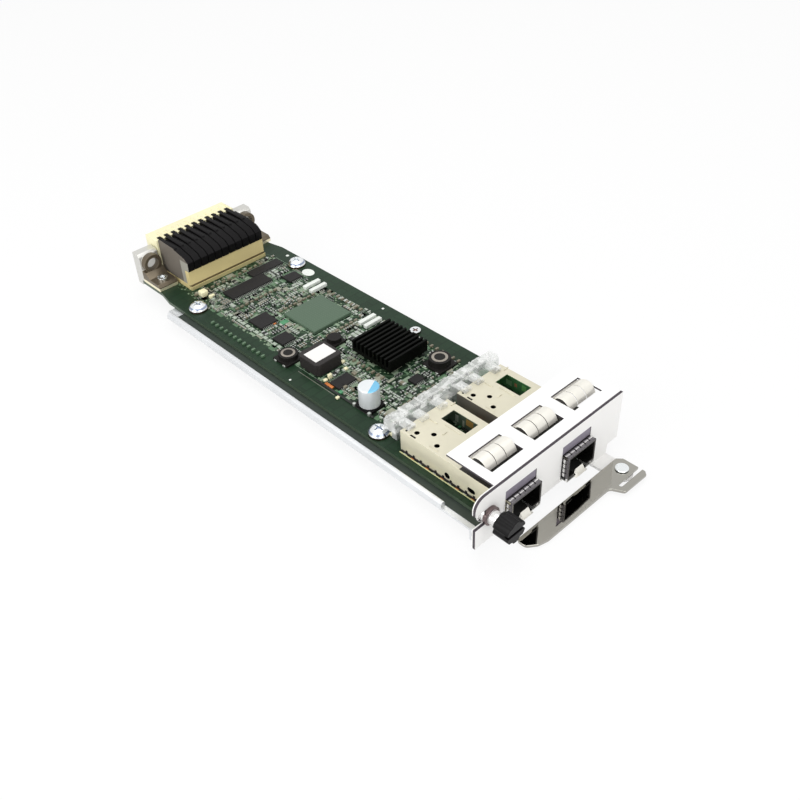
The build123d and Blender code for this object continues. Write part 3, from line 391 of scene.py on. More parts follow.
class Shaders:
    """Builds the shared node groups and the materials that use them."""

    def __init__(self) -> None:
        """Builds the node groups once."""
        self.made: dict[str, bpy.types.Material] = {}
        self.surface = self._surface_group()
        self.dots = self._dot_group()

    def _group(self, name: str, inputs: dict, outputs: dict) -> tuple[Graph, bpy.types.Node, bpy.types.Node]:
        """Makes an empty node group with named sockets.

        Args:
            name: Name of the group.
            inputs: Kind of each input, by name.
            outputs: Kind of each output, by name.

        Returns:
            The group's graph, its input node and its output node.
        """
        tree = bpy.data.node_groups.new(name, "ShaderNodeTree")
        for sockets, way in ((inputs, "INPUT"), (outputs, "OUTPUT")):
            for socket, kind in sockets.items():
                tree.interface.new_socket(socket, in_out=way, socket_type=f"NodeSocket{kind}")
        return Graph(tree), tree.nodes.new("NodeGroupInput"), tree.nodes.new("NodeGroupOutput")

    def _surface_group(self) -> bpy.types.NodeTree:
        """Builds the group that varies colour and roughness and gives a fine height.

        Returns:
            The group, with outputs Colour, Roughness and Height.
        """
        graph, start, end = self._group(
            "surface_variation",
            {"Vector": "Vector", "Stretched": "Vector", "Dark": "Color", "Light": "Color",
             "Grain Scale": "Float", "Broad Scale": "Float", "Low": "Float", "High": "Float"},
            {"Colour": "Color", "Roughness": "Float", "Height": "Float"},
        )
        given = start.outputs
        fine_inputs = {"Vector": given["Stretched"], "Scale": given["Grain Scale"], "Detail": 3.0}
        broad_inputs = {"Vector": given["Vector"], "Scale": given["Broad Scale"], "Detail": 4.0}
        fine = graph.add("TexNoise", fine_inputs).outputs["Fac"]
        broad = graph.add("TexNoise", broad_inputs).outputs["Fac"]
        share = graph.fit(graph.math("MULTIPLY_ADD", fine, 0.4, broad), 0.45, 0.95)
        graph.feed(end.inputs["Colour"], graph.mix(share, given["Dark"], given["Light"]))
        graph.feed(end.inputs["Roughness"], graph.fit(fine, 0.3, 0.7, given["Low"], given["High"]))
        graph.feed(end.inputs["Height"], fine)
        return graph.tree

    def _dot_group(self) -> bpy.types.NodeTree:
        """Builds the group that scatters round dots, for vias and solder balls.

        Returns:
            The group, with output Mask, one inside a dot.
        """
        inputs = {"Vector": "Vector", "Scale": "Float", "Radius": "Float", "Randomness": "Float"}
        graph, start, end = self._group("scattered_dots", inputs, {"Mask": "Float"})
        given = start.outputs
        taken = {name: given[name] for name in ("Vector", "Scale", "Randomness")}
        cells = graph.add("TexVoronoi", taken, voronoi_dimensions="2D")
        graph.feed(end.inputs["Mask"], graph.math("LESS_THAN", cells.outputs["Distance"], given["Radius"]))
        return graph.tree

    def _dotted(self, coat: Coat, scale: float, radius: float, randomness: float) -> bpy.types.NodeSocket:
        """Adds the dots to a material.

        Args:
            coat: The material.
            scale: Dots to a metre.
            radius: Radius of a dot as a share of their distance.
            randomness: Zero for a grid, one for chance.

        Returns:
            A mask that is one inside a dot.
        """
        inputs = {"Vector": coat.place, "Scale": scale, "Radius": radius, "Randomness": randomness}
        return coat.add("Group", inputs, node_tree=self.dots).outputs["Mask"]

    def zoned(self, name: str, finish: Finish, zones: list | tuple) -> bpy.types.Material:
        """Makes a finish that takes other colours inside boxes of the part.

        Args:
            name: Name of the material.
            finish: Finish outside the boxes.
            zones: Pairs of a colour and the bands along axes, in metres, that bound its box.

        Returns:
            The material.
        """
        coat = Coat(name, finish, self.surface)
        for colour, bands in zones:
            coat.over(coat.within(*bands), colour)
        return coat.done()

    def finish(self, finish: Finish) -> bpy.types.Material:
        """Gives the material of a finish, made the first time it is asked for.

        Args:
            finish: The finish.

        Returns:
            Its material.
        """
        if finish.name not in self.made:
            self.made[finish.name] = self.zoned(finish.name, finish, ())
        return self.made[finish.name]

    def threaded(self, start: float, pitch: float) -> bpy.types.Material:
        """Makes turned steel with thread ridges behind a depth.

        Args:
            start: Depth in metres where the thread starts.
            pitch: Distance of the ridges.

        Returns:
            The material.
        """
        coat = Coat("threaded_steel", TURNED_STEEL, self.surface)
        inputs = {"Vector": coat.place, "Scale": 2 * math.pi / (20 * pitch)}
        ridges = coat.add("TexWave", inputs, wave_type="BANDS", bands_direction="Y").outputs["Fac"]
        coat.height = coat.math("MULTIPLY", ridges, coat.within(("Y", start, 1.0)))
        coat.bump_strength = 1.0
        coat.bump_distance = pitch / 2
        return coat.done()

    def board(self, busy: tuple[float, float], core: tuple[float, float]) -> bpy.types.Material:
        """Makes the green solder mask with copper areas, tracks and plated holes.

        Args:
            busy: Where the busy strip of the board starts and ends along X.
            core: Where the pale core shows on the board's edge, along Z.

        Returns:
            The material.
        """
        coat = Coat("board_green", BOARD_GREEN, self.surface)
        inputs = {"Vector": coat.place, "Scale": 60.0, "Mortar Size": 0.02}
        for name, colour in (("Color1", (34, 58, 39)), ("Color2", (26, 46, 30)), ("Mortar", (20, 38, 25))):
            inputs[name] = (*srgb(*colour), 1.0)
        coat.colour = coat.mix(0.45, coat.colour, coat.add("TexBrick", inputs).outputs["Color"])
        inputs = {"Vector": coat.place, "Scale": 130.0, "Distortion": 7.0, "Detail": 1.0, "Detail Scale": 0.6}
        tracks = coat.add("TexWave", inputs, wave_type="BANDS", bands_direction="DIAGONAL").outputs["Fac"]
        strip = coat.within(("X", *busy))
        thin = coat.fit(tracks, 0.72, 0.9, 0.0, 0.35)
        coat.over(coat.math("MULTIPLY", thin, strip), srgb(84, 110, 82))
        coat.over(coat.math("MULTIPLY", self._dotted(coat, 420.0, 0.16, 1.0), strip), srgb(132, 152, 124))
        coat.over(coat.within(("Z", *core)), srgb(78, 92, 76))
        return coat.done()

    def package(self) -> bpy.types.Material:
        """Makes the large chip's laminate with its faint dotted field.

        Returns:
            The material.
        """
        coat = Coat("package_green", PACKAGE_GREEN, self.surface)
        faint = coat.math("MULTIPLY", self._dotted(coat, 800.0, 0.22, 0.0), 0.18)
        coat.over(faint, srgb(116, 134, 116))
        return coat.done()

    def clear_guide(self) -> bpy.types.Material:
        """Makes the clear moulding: see-through where it faces the eye, milky where it turns away.

        Returns:
            The material.
        """
        coat = Coat("guide_clear", GUIDE_CLEAR, self.surface)
        facing = coat.add("LayerWeight", {"Blend": 0.42}).outputs["Facing"]
        cloud = coat.add("TexNoise", {"Vector": coat.place, "Scale": 320.0, "Detail": 2.0}).outputs["Fac"]
        spots = coat.fit(cloud, 0.46, 0.6, 0.08, 0.62)
        coat.feed(coat.shader.inputs["Alpha"], coat.math("MAXIMUM", spots, facing))
        coat.feed(coat.shader.inputs["IOR"], 1.49)
        return coat.done()

    def capacitor(self, centre: tuple[float, float], top: float) -> bpy.types.Material:
        """Makes the drawn can with the coloured polarity segment on its top.

        Args:
            centre: Centre of the can in X and Y.
            top: Height of its top.

        Returns:
            The material.
        """
        coat = Coat("can_aluminium", CAN_ALUMINIUM, self.surface)
        split = coat.add("SeparateXYZ", {"Vector": coat.place}).outputs
        across = coat.math("MULTIPLY_ADD", split["X"], -0.5, split["Y"])
        beyond = coat.math("LESS_THAN", across, centre[1] - 0.5 * centre[0] - 1.2 * MM)
        high = coat.within(("Z", top - 0.3 * MM, top + 1 * MM))
        coat.over(coat.math("MULTIPLY", beyond, high), srgb(120, 190, 225))
        return coat.done()


class Workshop:
    """Turns bmeshes into finished pieces that ride with the solids."""

    def __init__(self, frame: dict, shaders: Shaders) -> None:
        """Keeps the frame and the shaders.

        Args:
            shaders: The materials.
        """
        self.frame = frame
        self.shaders = shaders

    def _material(self, look: Finish | bpy.types.Material) -> bpy.types.Material:
        """Gives the material of a finish, or the material itself."""
        return self.shaders.finish(look) if isinstance(look, Finish) else look

    def piece(
        self, name: str, mesh_data: bmesh.types.BMesh, looks: list | tuple, slot: str, body: str = "card",
        smooth: float = 35.0,
    ) -> bpy.types.Object:
        """Makes an object of a bmesh and lets it ride with a body.

        Args:
            name: Name of the piece.
            mesh_data: The bmesh, which is freed.
            looks: Finishes or materials in the order of the faces' indices.
            slot: Not used.
            body: The body it rides with.
            smooth: Angle in degrees above which edges stay sharp.

        Returns:
            The object.
        """
        mesh = bpy.data.meshes.new(name)
        mesh_data.to_mesh(mesh)
        mesh_data.free()
        for polygon in mesh.polygons:
            polygon.use_smooth = True
        mesh.set_sharp_from_angle(angle=math.radians(smooth))
        for look in looks:
            mesh.materials.append(self._material(look))
        made = bpy.data.objects.new(name, mesh)
        bpy.context.scene.collection.objects.link(made)
        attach(made, body)
        LOG.info("piece %s: %d faces", name, len(mesh.polygons))
        return made

    def copy_of(self, node: str) -> bmesh.types.BMesh:
        """Gives a merged copy of a solid's mesh with its flat faces joined.

        Args:
            node: Name of the solid.

        Returns:
            The copy.
        """
        copy = bmesh.new()
        copy.from_mesh(self.frame["nodes"][node].data)
        bmesh.ops.remove_doubles(copy, verts=copy.verts[:], dist=0.000001)
        bmesh.ops.dissolve_limit(
            copy, angle_limit=math.radians(0.5), verts=copy.verts[:], edges=copy.edges[:]
        )
        return copy

    def softened(
        self, node: str, look: Finish | bpy.types.Material, width: float, slot: str, segments: int = 2,
        smooth: float = 40.0, edge: tuple[Finish | bpy.types.Material, int] | None = None,
        source: bmesh.types.BMesh | None = None,
    ) -> None:
        """Replaces a solid with a copy whose sharp edges are rounded.

        Args:
            node: Name of the solid.
            look: Its finish or material.
            width: Width of the rounding, in metres.
            slot: Not used; passed on to piece, which ignores it.
            segments: Segments of the rounding.
            smooth: Angle in degrees above which edges stay sharp.
            edge: A darker look for the faces round a sheet's rim, and the axis across the sheet.
            source: Reshaped copy of the solid to use in place of a plain one.
        """
        copy = source or self.copy_of(node)
        looks = [look]
        if edge:
            looks.append(edge[0])
            for face in copy.faces:
                if abs(face.normal[edge[1]]) < 0.5 and face.calc_center_median().z > 0:
                    face.material_index = 1
        body = self.frame["nodes"][node]["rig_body"]
        made = self.piece(f"{node}_finished", copy, looks, slot, body, smooth)
        bevel = made.modifiers.new("rounded", "BEVEL")
        bevel.width = width
        bevel.segments = segments
        bevel.limit_method = "ANGLE"
        bevel.angle_limit = math.radians(40)
        bevel.harden_normals = False
        bevel.use_clamp_overlap = True
        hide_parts(node)

    def dress(self, node: str, look: Finish | bpy.types.Material) -> None:
        """Gives a solid that stays its material.

        Args:
            node: Name of the solid.
            look: Its finish or material.
        """
        solid = self.frame["nodes"][node]
        solid.data.materials.clear()
        solid.data.materials.append(self._material(look))

    def solid_boxes(self, node: str) -> list[tuple[Vector, Vector]]:
        """Gives the box of each separate solid of a node.

        Args:
            node: Name of the node.

        Returns:
            Pairs of lowest and highest corner.
        """
        copy = self.copy_of(node)
        left = set(copy.verts)
        boxes = []
        while left:
            island = [left.pop()]
            reached = list(island)
            while island:
                vertex = island.pop()
                for edge in vertex.link_edges:
                    other = edge.other_vert(vertex)
                    if other in left:
                        left.remove(other)
                        island.append(other)
                        reached.append(other)
            low = Vector([min(vertex.co[axis] for vertex in reached) for axis in range(3)])
            high = Vector([max(vertex.co[axis] for vertex in reached) for axis in range(3)])
            boxes.append((low, high))
        copy.free()
        return sorted(boxes, key=lambda pair: tuple(pair[0]))


def add_box(
    target: bmesh.types.BMesh, low: tuple, high: tuple, index: int = 0, rounding: float = 0.0
) -> list[bmesh.types.BMVert]:
    """Adds a block between two corners to a bmesh, with its edges rounded if asked.

    Args:
        target: The bmesh.
        low: Lowest corner in metres.
        high: Highest corner in metres.
        index: Material index of its faces.
        rounding: Width of the rounding, or zero.

    Returns:
        The block's vertices before any rounding.
    """
    centre = [(a + b) / 2 for a, b in zip(low, high)]
    size = [b - a for a, b in zip(low, high)]
    matrix = Matrix.Translation(centre) @ Matrix.Diagonal((*size, 1.0))
    verts = bmesh.ops.create_cube(target, size=1.0, matrix=matrix)["verts"]
    faces = {face for vertex in verts for face in vertex.link_faces}
    for face in faces:
        face.material_index = index
    if rounding > 0:
        edges = list({edge for vertex in verts for edge in vertex.link_edges})
        bmesh.ops.bevel(
            target, geom=edges, offset=rounding, segments=2, profile=0.5, affect="EDGES", material=-1
        )
    return verts


def add_disc(
    target: bmesh.types.BMesh, centre: tuple, radius: float, height: float, index: int = 0, sides: int = 20,
    top: float = 1.0, turn: Matrix | None = None,
) -> None:
    """Adds an upright cylinder or cone to a bmesh.

    Args:
        target: The bmesh.
        centre: Centre of its foot in metres.
        radius: Radius of the foot.
        height: Height.
        index: Material index.
        sides: Number of sides.
        top: Radius of the top as a share of the foot's.
        turn: Rotation about the centre, if any.
    """
    raised = Matrix.Translation((0, 0, height / 2))
    matrix = Matrix.Translation(centre) @ (turn or Matrix.Identity(4)) @ raised
    verts = bmesh.ops.create_cone(
        target, cap_ends=True, segments=sides, radius1=radius, radius2=radius * top, depth=height,
        matrix=matrix,
    )["verts"]
    for face in {face for vertex in verts for face in vertex.link_faces}:
        face.material_index = index


def stretch(edge: float, outward: int, near: float, far: float) -> list[float]:
    """Gives both ends of a stretch beside an edge.

    Args:
        edge: Place of the edge in metres.
        outward: Direction away from the piece, 1 or -1.
        near: Near end's distance in millimetres.
        far: Far end's distance in millimetres.

    Returns:
        The ends in metres, lowest first.
    """
    return sorted((edge + outward * near * MM, edge + outward * far * MM))


@dataclass
class Assembly:
    """A group of pieces and the workshop that makes them."""

    shop: Workshop


@dataclass
class FrontAssembly(Assembly):
    """Faceplate, shield, contact springs, seals and collars."""

    tip_setback: float = 0.9 * MM

    def build(self) -> None:
        """Dresses the front parts."""
        shaders = self.shop.shaders
        # The faces round the plate's and shield's rims are painted dark grey; the plate's back face keeps its
        # white.
        rear_edge = [(PLATE_WHITE.colour, [("Y", 1.05 * MM, 3 * MM)])]
        plate_edge = shaders.zoned("plate_edge", EDGE_GREY, rear_edge)
        self.shop.softened("faceplate", PLATE_WHITE, 0.1 * MM, "plate_white", edge=(plate_edge, 1))
        self.shop.softened("top_shield", SHIELD_WHITE, 0.08 * MM, "plate_white", edge=(EDGE_GREY, 2))
        for side in ("left", "middle", "right"):
            node = f"contact_spring_{side}"
            copy = self.shop.copy_of(node)
            low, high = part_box(node)
            middle = (low.y + high.y) / 2
            for vert in copy.verts:
                if vert.co.y < middle:
                    vert.co.y += self.tip_setback * (middle - vert.co.y) / (middle - low.y)
            self.shop.softened(node, SPRING_TIN, 0.06 * MM, "spring_tin", 1, 30, source=copy)
        for side in ("left", "right"):
            low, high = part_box(f"collar_{side}")
            # The crest band is a painted highlight on the finger bulges; the far side band is painted shade.
            crest_highlight = [("Y", low.y + 1.25 * MM, low.y + 1.95 * MM)]
            foot = [("Z", low.z - MM, low.z + 1.5 * MM)]
            far = [("X", high.x - 0.75 * MM, high.x + MM), ("Z", low.z + 1.5 * MM, high.z)]
            zones = [(srgb(235, 234, 232), crest_highlight), (srgb(40, 38, 40), far), (srgb(232, 231, 228), foot)]
            collar = shaders.zoned(f"collar_steel_{side}", COLLAR_STEEL, zones)
            self.shop.dress(f"port_seal_{side}", SEAL_GREY)
            self.shop.softened(f"collar_{side}", collar, 0.04 * MM, "collar_steel", 1, 30)
            self.shop.dress(f"host_connector_{side}", MOULD_BLACK)
            self._ramp(side)

    def _ramp(self, side: str) -> None:
        """Adds the bent lead-in ramp at the foot of a port's mouth.

        Args:
            side: Which port.
        """
        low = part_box(f"cage_{side}")[0]
        middle = low.x + 7.12 * MM
        made = bmesh.new()
        verts = add_box(
            made, (middle - 3.2 * MM, low.y - 0.7 * MM, low.z - 0.6 * MM),
            (middle + 3.2 * MM, low.y + 0.8 * MM, low.z + 1.9 * MM),
        )
        for vert in verts:
            if vert.co.z > low.z:
                vert.co.x = middle + (vert.co.x - middle) * 0.62
                if vert.co.y < low.y:
                    vert.co.z = low.z - 0.3 * MM
        self.shop.piece(f"port_ramp_{side}", made, [SPRING_TIN], "cage_tin")


@dataclass
class CageAssembly(Assembly):
    """Port cages with their pins, pads, painted foot shadow and formed marks."""

    pin_pitch: float = 3.6 * MM
    tube_width: float = 14.25 * MM
    wall: float = 0.2 * MM
    shade_rear: float = 21.0 * MM
    bay_colours: dict = field(default_factory=lambda: {
        "left": (
            (srgb(136, 156, 138), []),
            (srgb(255, 204, 120), [("Y", 36.2 * MM, 39.8 * MM), ("Z", 5.2 * MM, 8.2 * MM)]),
            (srgb(244, 250, 240), [("Y", 43.6 * MM, 45.2 * MM), ("Z", 4.2 * MM, 7.4 * MM)]),
            (srgb(250, 250, 240), [("Y", 40.6 * MM, 41.6 * MM), ("Z", 3.6 * MM, 6.6 * MM)]),
        ),
        "right": (
            (srgb(110, 184, 122), []),
            (srgb(190, 244, 190), [("Y", 43.0 * MM, 46.0 * MM), ("Z", 4.6 * MM, 7.0 * MM)]),
            (srgb(255, 190, 140), [("Y", 40.4 * MM, 41.8 * MM), ("Z", 5.4 * MM, 7.0 * MM)]),
            (srgb(160, 250, 150), [("Y", 36.0 * MM, 38.2 * MM), ("Z", 5.4 * MM, 8.0 * MM)]),
        ),
    })

    def build(self) -> None:
        """Dresses both cages and adds their feet and formed tabs."""
        for side in ("left", "right"):
            low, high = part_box(f"cage_{side}")
            wall = self.wall
            partition = low.x + self.tube_width
            # The tube's inside is painted near-black and the roof under the shield dark grey: painted shade.
            inside = [("X", low.x + wall, partition - wall), ("Z", low.z, high.z - wall)]
            shaded = [("Y", low.y, self.shade_rear), ("Z", high.z - wall, high.z + wall)]
            bay = [("X", partition + wall, high.x - wall / 2), ("Z", low.z, high.z - 0.7 * wall)]
            nose = [("Y", low.y - wall, low.y + wall), ("Z", low.z + 1.5 * MM, high.z + wall)]
            zones = [(srgb(14, 14, 12), inside), (srgb(44, 42, 38), shaded), (srgb(62, 60, 58), nose)]
            zones += [(colour, bay + bands) for colour, bands in self.bay_colours[side]]
            # Outer left wall: the left cage's is painted lighter as a painted highlight, the right cage's
            # painted grey as painted shade.
            outer_wall_light_and_shade = ("X", low.x - wall, low.x + wall / 4)
            if side == "left":
                zones.append((srgb(246, 240, 214), [outer_wall_light_and_shade, ("Z", low.z + 1.2 * MM, high.z)]))
            else:
                zones.append((srgb(120, 115, 108), [outer_wall_light_and_shade, ("Z", low.z, high.z - wall)]))
            tin = self.shop.shaders.zoned(f"cage_tin_{side}", CAGE_TIN, zones)
            self.shop.softened(f"cage_{side}", tin, 0.09 * MM, "cage_tin")
            self._feet(side)
            self._tabs(side, low, high)

    def _tabs(self, side: str, low: Vector, high: Vector) -> None:
        """Adds the formed ribs and tabs on a cage's roof.

        Args:
            side: Which cage.
            low: Lowest corner of the cage.
            high: Highest corner of the cage.
        """
        made = bmesh.new()
        roof = high.z
        for x, y, size_x, size_y, rise in (
            (8.6, 12.2, 2.2, 0.5, 0.25), (11.4, 3.4, 0.5, 3.6, 0.25), (4.2, 20.4, 6.4, 0.6, 0.2),
            (22.2, 3.2, 2.4, 0.5, 0.3), (22.6, 22.6, 0.5, 5.0, 0.2), (1.2, 13.0, 0.5, 4.2, 0.2),
            (12.9, 9.2, 0.45, 7.6, 0.2),
        ):
            near = (low.x + x * MM, high.y - (y + size_y) * MM, roof)
            far = (low.x + (x + size_x) * MM, high.y - y * MM, roof + rise * MM)
            add_box(made, near, far, 0, min(rise, 0.2) * 0.45 * MM)
        self.shop.piece(f"cage_tabs_{side}", made, [CAGE_TIN], "cage_tin")

    def _feet(self, side: str) -> None:
        """Adds the pads along a cage's foot, black posts for its pins, painted as in shade, and a black strip
        that is painted shadow under its wall.

        Args:
            side: Which cage.
        """
        low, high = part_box(f"cage_{side}")
        board_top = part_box("board")[1].z
        made = bmesh.new()
        place = 6.0 * MM
        number = 0
        edges = ((low.x, -1), (high.x, 1))
        while place < high.y - 2 * MM:
            for edge, outward in edges:
                # The index 2 posts are the pins, painted black as in shade.
                for reach, start, end, rise, kind, rounding in (
                    (0.95, 0.0, 1.5, 0.06, number % 2, 0.0), (0.3, 0.3, 1.1, 1.1, 2, 0.05),
                ):
                    ends = stretch(edge, outward, 0.02, reach)
                    near = (ends[0], place + start * MM, board_top)
                    far = (ends[1], place + end * MM, board_top + rise * MM)
                    add_box(made, near, far, kind, rounding * MM)
            place += self.pin_pitch
            number += 1
        for edge, outward in edges:
            # The index 2 strip is painted shadow in the gap under the wall.
            for near, far, kind, rise in ((0.02, 0.6, 2, 0.3), (0.95, 1.4, 3, 0.04)):
                ends = stretch(edge, outward, near, far)
                corner = (ends[1], high.y - 0.5 * MM, board_top + rise * MM)
                add_box(made, (ends[0], 5 * MM, board_top), corner, kind)
        self.shop.piece(f"cage_pins_foot_shadow_{side}", made, (COPPER, SOLDER, CHIP_BLACK, PAD_YELLOW), "cage_tin")


@dataclass
class BaseAssembly(Assembly):
    """Tray, insulating film, board and screws."""

    def build(self) -> None:
        """Dresses the base parts."""
        shaders = self.shop.shaders
        self.shop.softened("tray", TRAY_ZINC, 0.15 * MM, "tray_zinc")
        self.shop.dress("insulating_sheet", FILM_GREY)
        self.shop.dress("board", shaders.board((20.0 * MM, 66.5 * MM), (1.35 * MM, 2.85 * MM)))
        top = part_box("board")[1].z
        # Both bands on the screw domes are painted reflections: reddish low, bluish higher.
        bands = [
            (srgb(112, 84, 74), [("Z", top - MM, top + 0.75 * MM)]),
            (srgb(150, 160, 182), [("Z", top + 1.3 * MM, top + 2.0 * MM)]),
        ]
        domes_painted_reflection = shaders.zoned("screw_domes", SCREW_NICKEL, bands)
        self.shop.softened("board_screws", domes_painted_reflection, 0.08 * MM, "screw_nickel", smooth=50)


@dataclass
class GuideAssembly(Assembly):
    """Clear light guide with its lenses and ribs, and the lamps below it."""

    cage_names: tuple = ("left", "right")
    arm_offsets: tuple = (3.4 * MM, 10.2 * MM, 19.6 * MM)

    def build(self) -> None:
        """Dresses the guide and adds the lamps."""
        clear = self.shop.shaders.clear_guide()
        self.shop.softened("light_guide", clear, 0.25 * MM, "guide_clear")
        low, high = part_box("light_guide")
        board_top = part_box("board")[1].z
        made = bmesh.new()
        lamps = bmesh.new()
        for side in self.cage_names:
            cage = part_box(f"cage_{side}")[0]
            for offset in self.arm_offsets:
                x = cage.x + offset
                y = high.y - 3.0 * MM
                add_disc(made, (x, y, high.z - 0.05 * MM), 1.5 * MM, 0.55 * MM, 0, 24, 0.6)
                rib = (low.y + 1.2 * MM, high.z), (low.y + 4.6 * MM, high.z + 0.3 * MM)
                pad = (high.y, high.z - 4.6 * MM), (high.y + 0.7 * MM, high.z - 1.4 * MM)
                lamp = (y + 1.6 * MM, board_top), (y + 2.9 * MM, board_top + 0.8 * MM)
                for target, half, (near, far), rounding in (
                    (made, 0.5, rib, 0.12), (made, 2.1, pad, 0.2), (lamps, 1.0, lamp, 0.1),
                ):
                    add_box(target, (x - half * MM, *near), (x + half * MM, *far), 0, rounding * MM)
            near, far = (high.y - 5.6 * MM, high.z - 0.1 * MM), (high.y - 0.6 * MM, high.z + 0.35 * MM)
            for x in (cage.x + 6.8 * MM, cage.x + 14.9 * MM):
                add_box(made, (x - 0.4 * MM, *near), (x + 0.4 * MM, *far), 0, 0.15 * MM)
        ridge = high.y - 4.4 * MM
        near = (low.x + 1 * MM, ridge, high.z - 0.1 * MM)
        add_box(made, near, (high.x - 1 * MM, ridge + 0.5 * MM, high.z + 0.2 * MM), 0, 0.1 * MM)
        self.shop.piece("guide_lenses", made, [clear], "guide_clear")
        self.shop.piece("guide_lamps", lamps, [SHROUD_CREAM], "strip_white")


@dataclass
class RearAssembly(Assembly):
    """Rear connector, guide blocks and their screws."""

    wafers: int = 11
    contact_columns: int = 22
    contact_rows: int = 6
    contact_pitch: float = 2.4 * MM

    def build(self) -> None:
        """Dresses the rear parts and adds the contacts."""
        shaders = self.shop.shaders
        low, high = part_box("connector_base")
        # The dark seam line is painted shadow in the groove; the ledge below it is painted a darker cream.
        ledge = [("Z", low.z - MM, low.z + 1.75 * MM), ("Y", low.y - MM, low.y + 0.78 * MM)]
        seam_shadow = [("Z", low.z + 1.9 * MM, low.z + 2.5 * MM), ("Y", low.y - MM, low.y + 1.6 * MM)]
        zones = [(srgb(190, 178, 128), ledge), (srgb(92, 80, 50), seam_shadow)]
        cream = shaders.zoned("housing_cream", HOUSING_CREAM, zones)
        self.shop.softened("connector_base", cream, 0.12 * MM, "housing_cream")
        self.shop.softened("connector_shroud", SHROUD_CREAM, 0.08 * MM, "housing_cream", 1)
        low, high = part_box("connector_wafers")
        side = ("X", low.x - MM, low.x + 0.12 * MM)
        plate = (srgb(112, 106, 98), [side])
        # The lighter facet at the front of the side plate is a painted highlight.
        facet_highlight = (srgb(158, 156, 146), [side, ("Y", low.y, low.y + 6 * MM), ("Z", low.z, high.z - 4 * MM)])
        black = shaders.zoned("wafer_black", MOULD_BLACK, [plate, facet_highlight])
        self.shop.softened("connector_wafers", black, 0.1 * MM, "connector_black")
        self.shop.softened("guide_screws", SCREW_NICKEL, 0.08 * MM, "screw_nickel")
        low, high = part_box("guide_block_left")
        flange_start = high.y - 5.6 * MM
        low_part = [("Z", low.z - MM, low.z + 3.9 * MM), ("Y", low.y - MM, flange_start)]
        foot = (srgb(240, 232, 200), low_part)
        flange = (srgb(206, 205, 200), [("Y", flange_start, high.y + MM)])
        zinc = shaders.zoned("block_zinc", BLOCK_ZINC, [foot, flange])
        for side in ("left", "right"):
            self.shop.softened(f"guide_block_{side}", zinc, 0.25 * MM, "block_zinc", 3, 50)
        self._contacts()
        self._teeth()

    def _teeth(self) -> None:
        """Adds the comb of black teeth and cream ribs behind the wafers."""
        made = bmesh.new()
        low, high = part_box("connector_wafers")
        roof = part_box("connector_shroud")[1].z
        pitch = (high.x - low.x) / self.wafers
        for index in range(self.wafers):
            x = low.x + (index + 0.5) * pitch
            near, far = high.y - 0.4 * MM, high.y + 2.2 * MM
            tabs = ((-1.0, 0.75, 0.0, 0.45), (1.25, 2.1, 4.0, 0.3))
            for kind, (left, right, longer, rise) in enumerate(tabs):
                corner = (x + right * MM, far + longer * MM, roof + rise * MM)
                add_box(made, (x + left * MM, near, roof), corner, kind, 0.08 * MM)
        self.shop.piece("shroud_teeth", made, [MOULD_BLACK, SHROUD_CREAM], "connector_black")

    def _contacts(self) -> None:
        """Adds the spring contacts inside the shroud's openings."""
        made = bmesh.new()
        low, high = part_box("connector_shroud")
        middle = Vector(((low.x + high.x) / 2, high.y, (low.z + high.z) / 2))
        pitch = (high.x - low.x - 1.2 * MM) / self.contact_columns
        for column in range(self.contact_columns):
            for row in range(self.contact_rows):
                x = middle.x + (column - (self.contact_columns - 1) / 2) * pitch
                z = middle.z + (row - (self.contact_rows - 1) / 2) * self.contact_pitch
                corner = (x - 0.25 * MM, high.y - 1 * MM, z + 0.15 * MM)
                add_box(made, (x - 0.45 * MM, high.y - 4.9 * MM, z - 0.15 * MM), corner)
        self.shop.piece("shroud_contacts", made, [GOLD_CONTACT], "spring_tin")


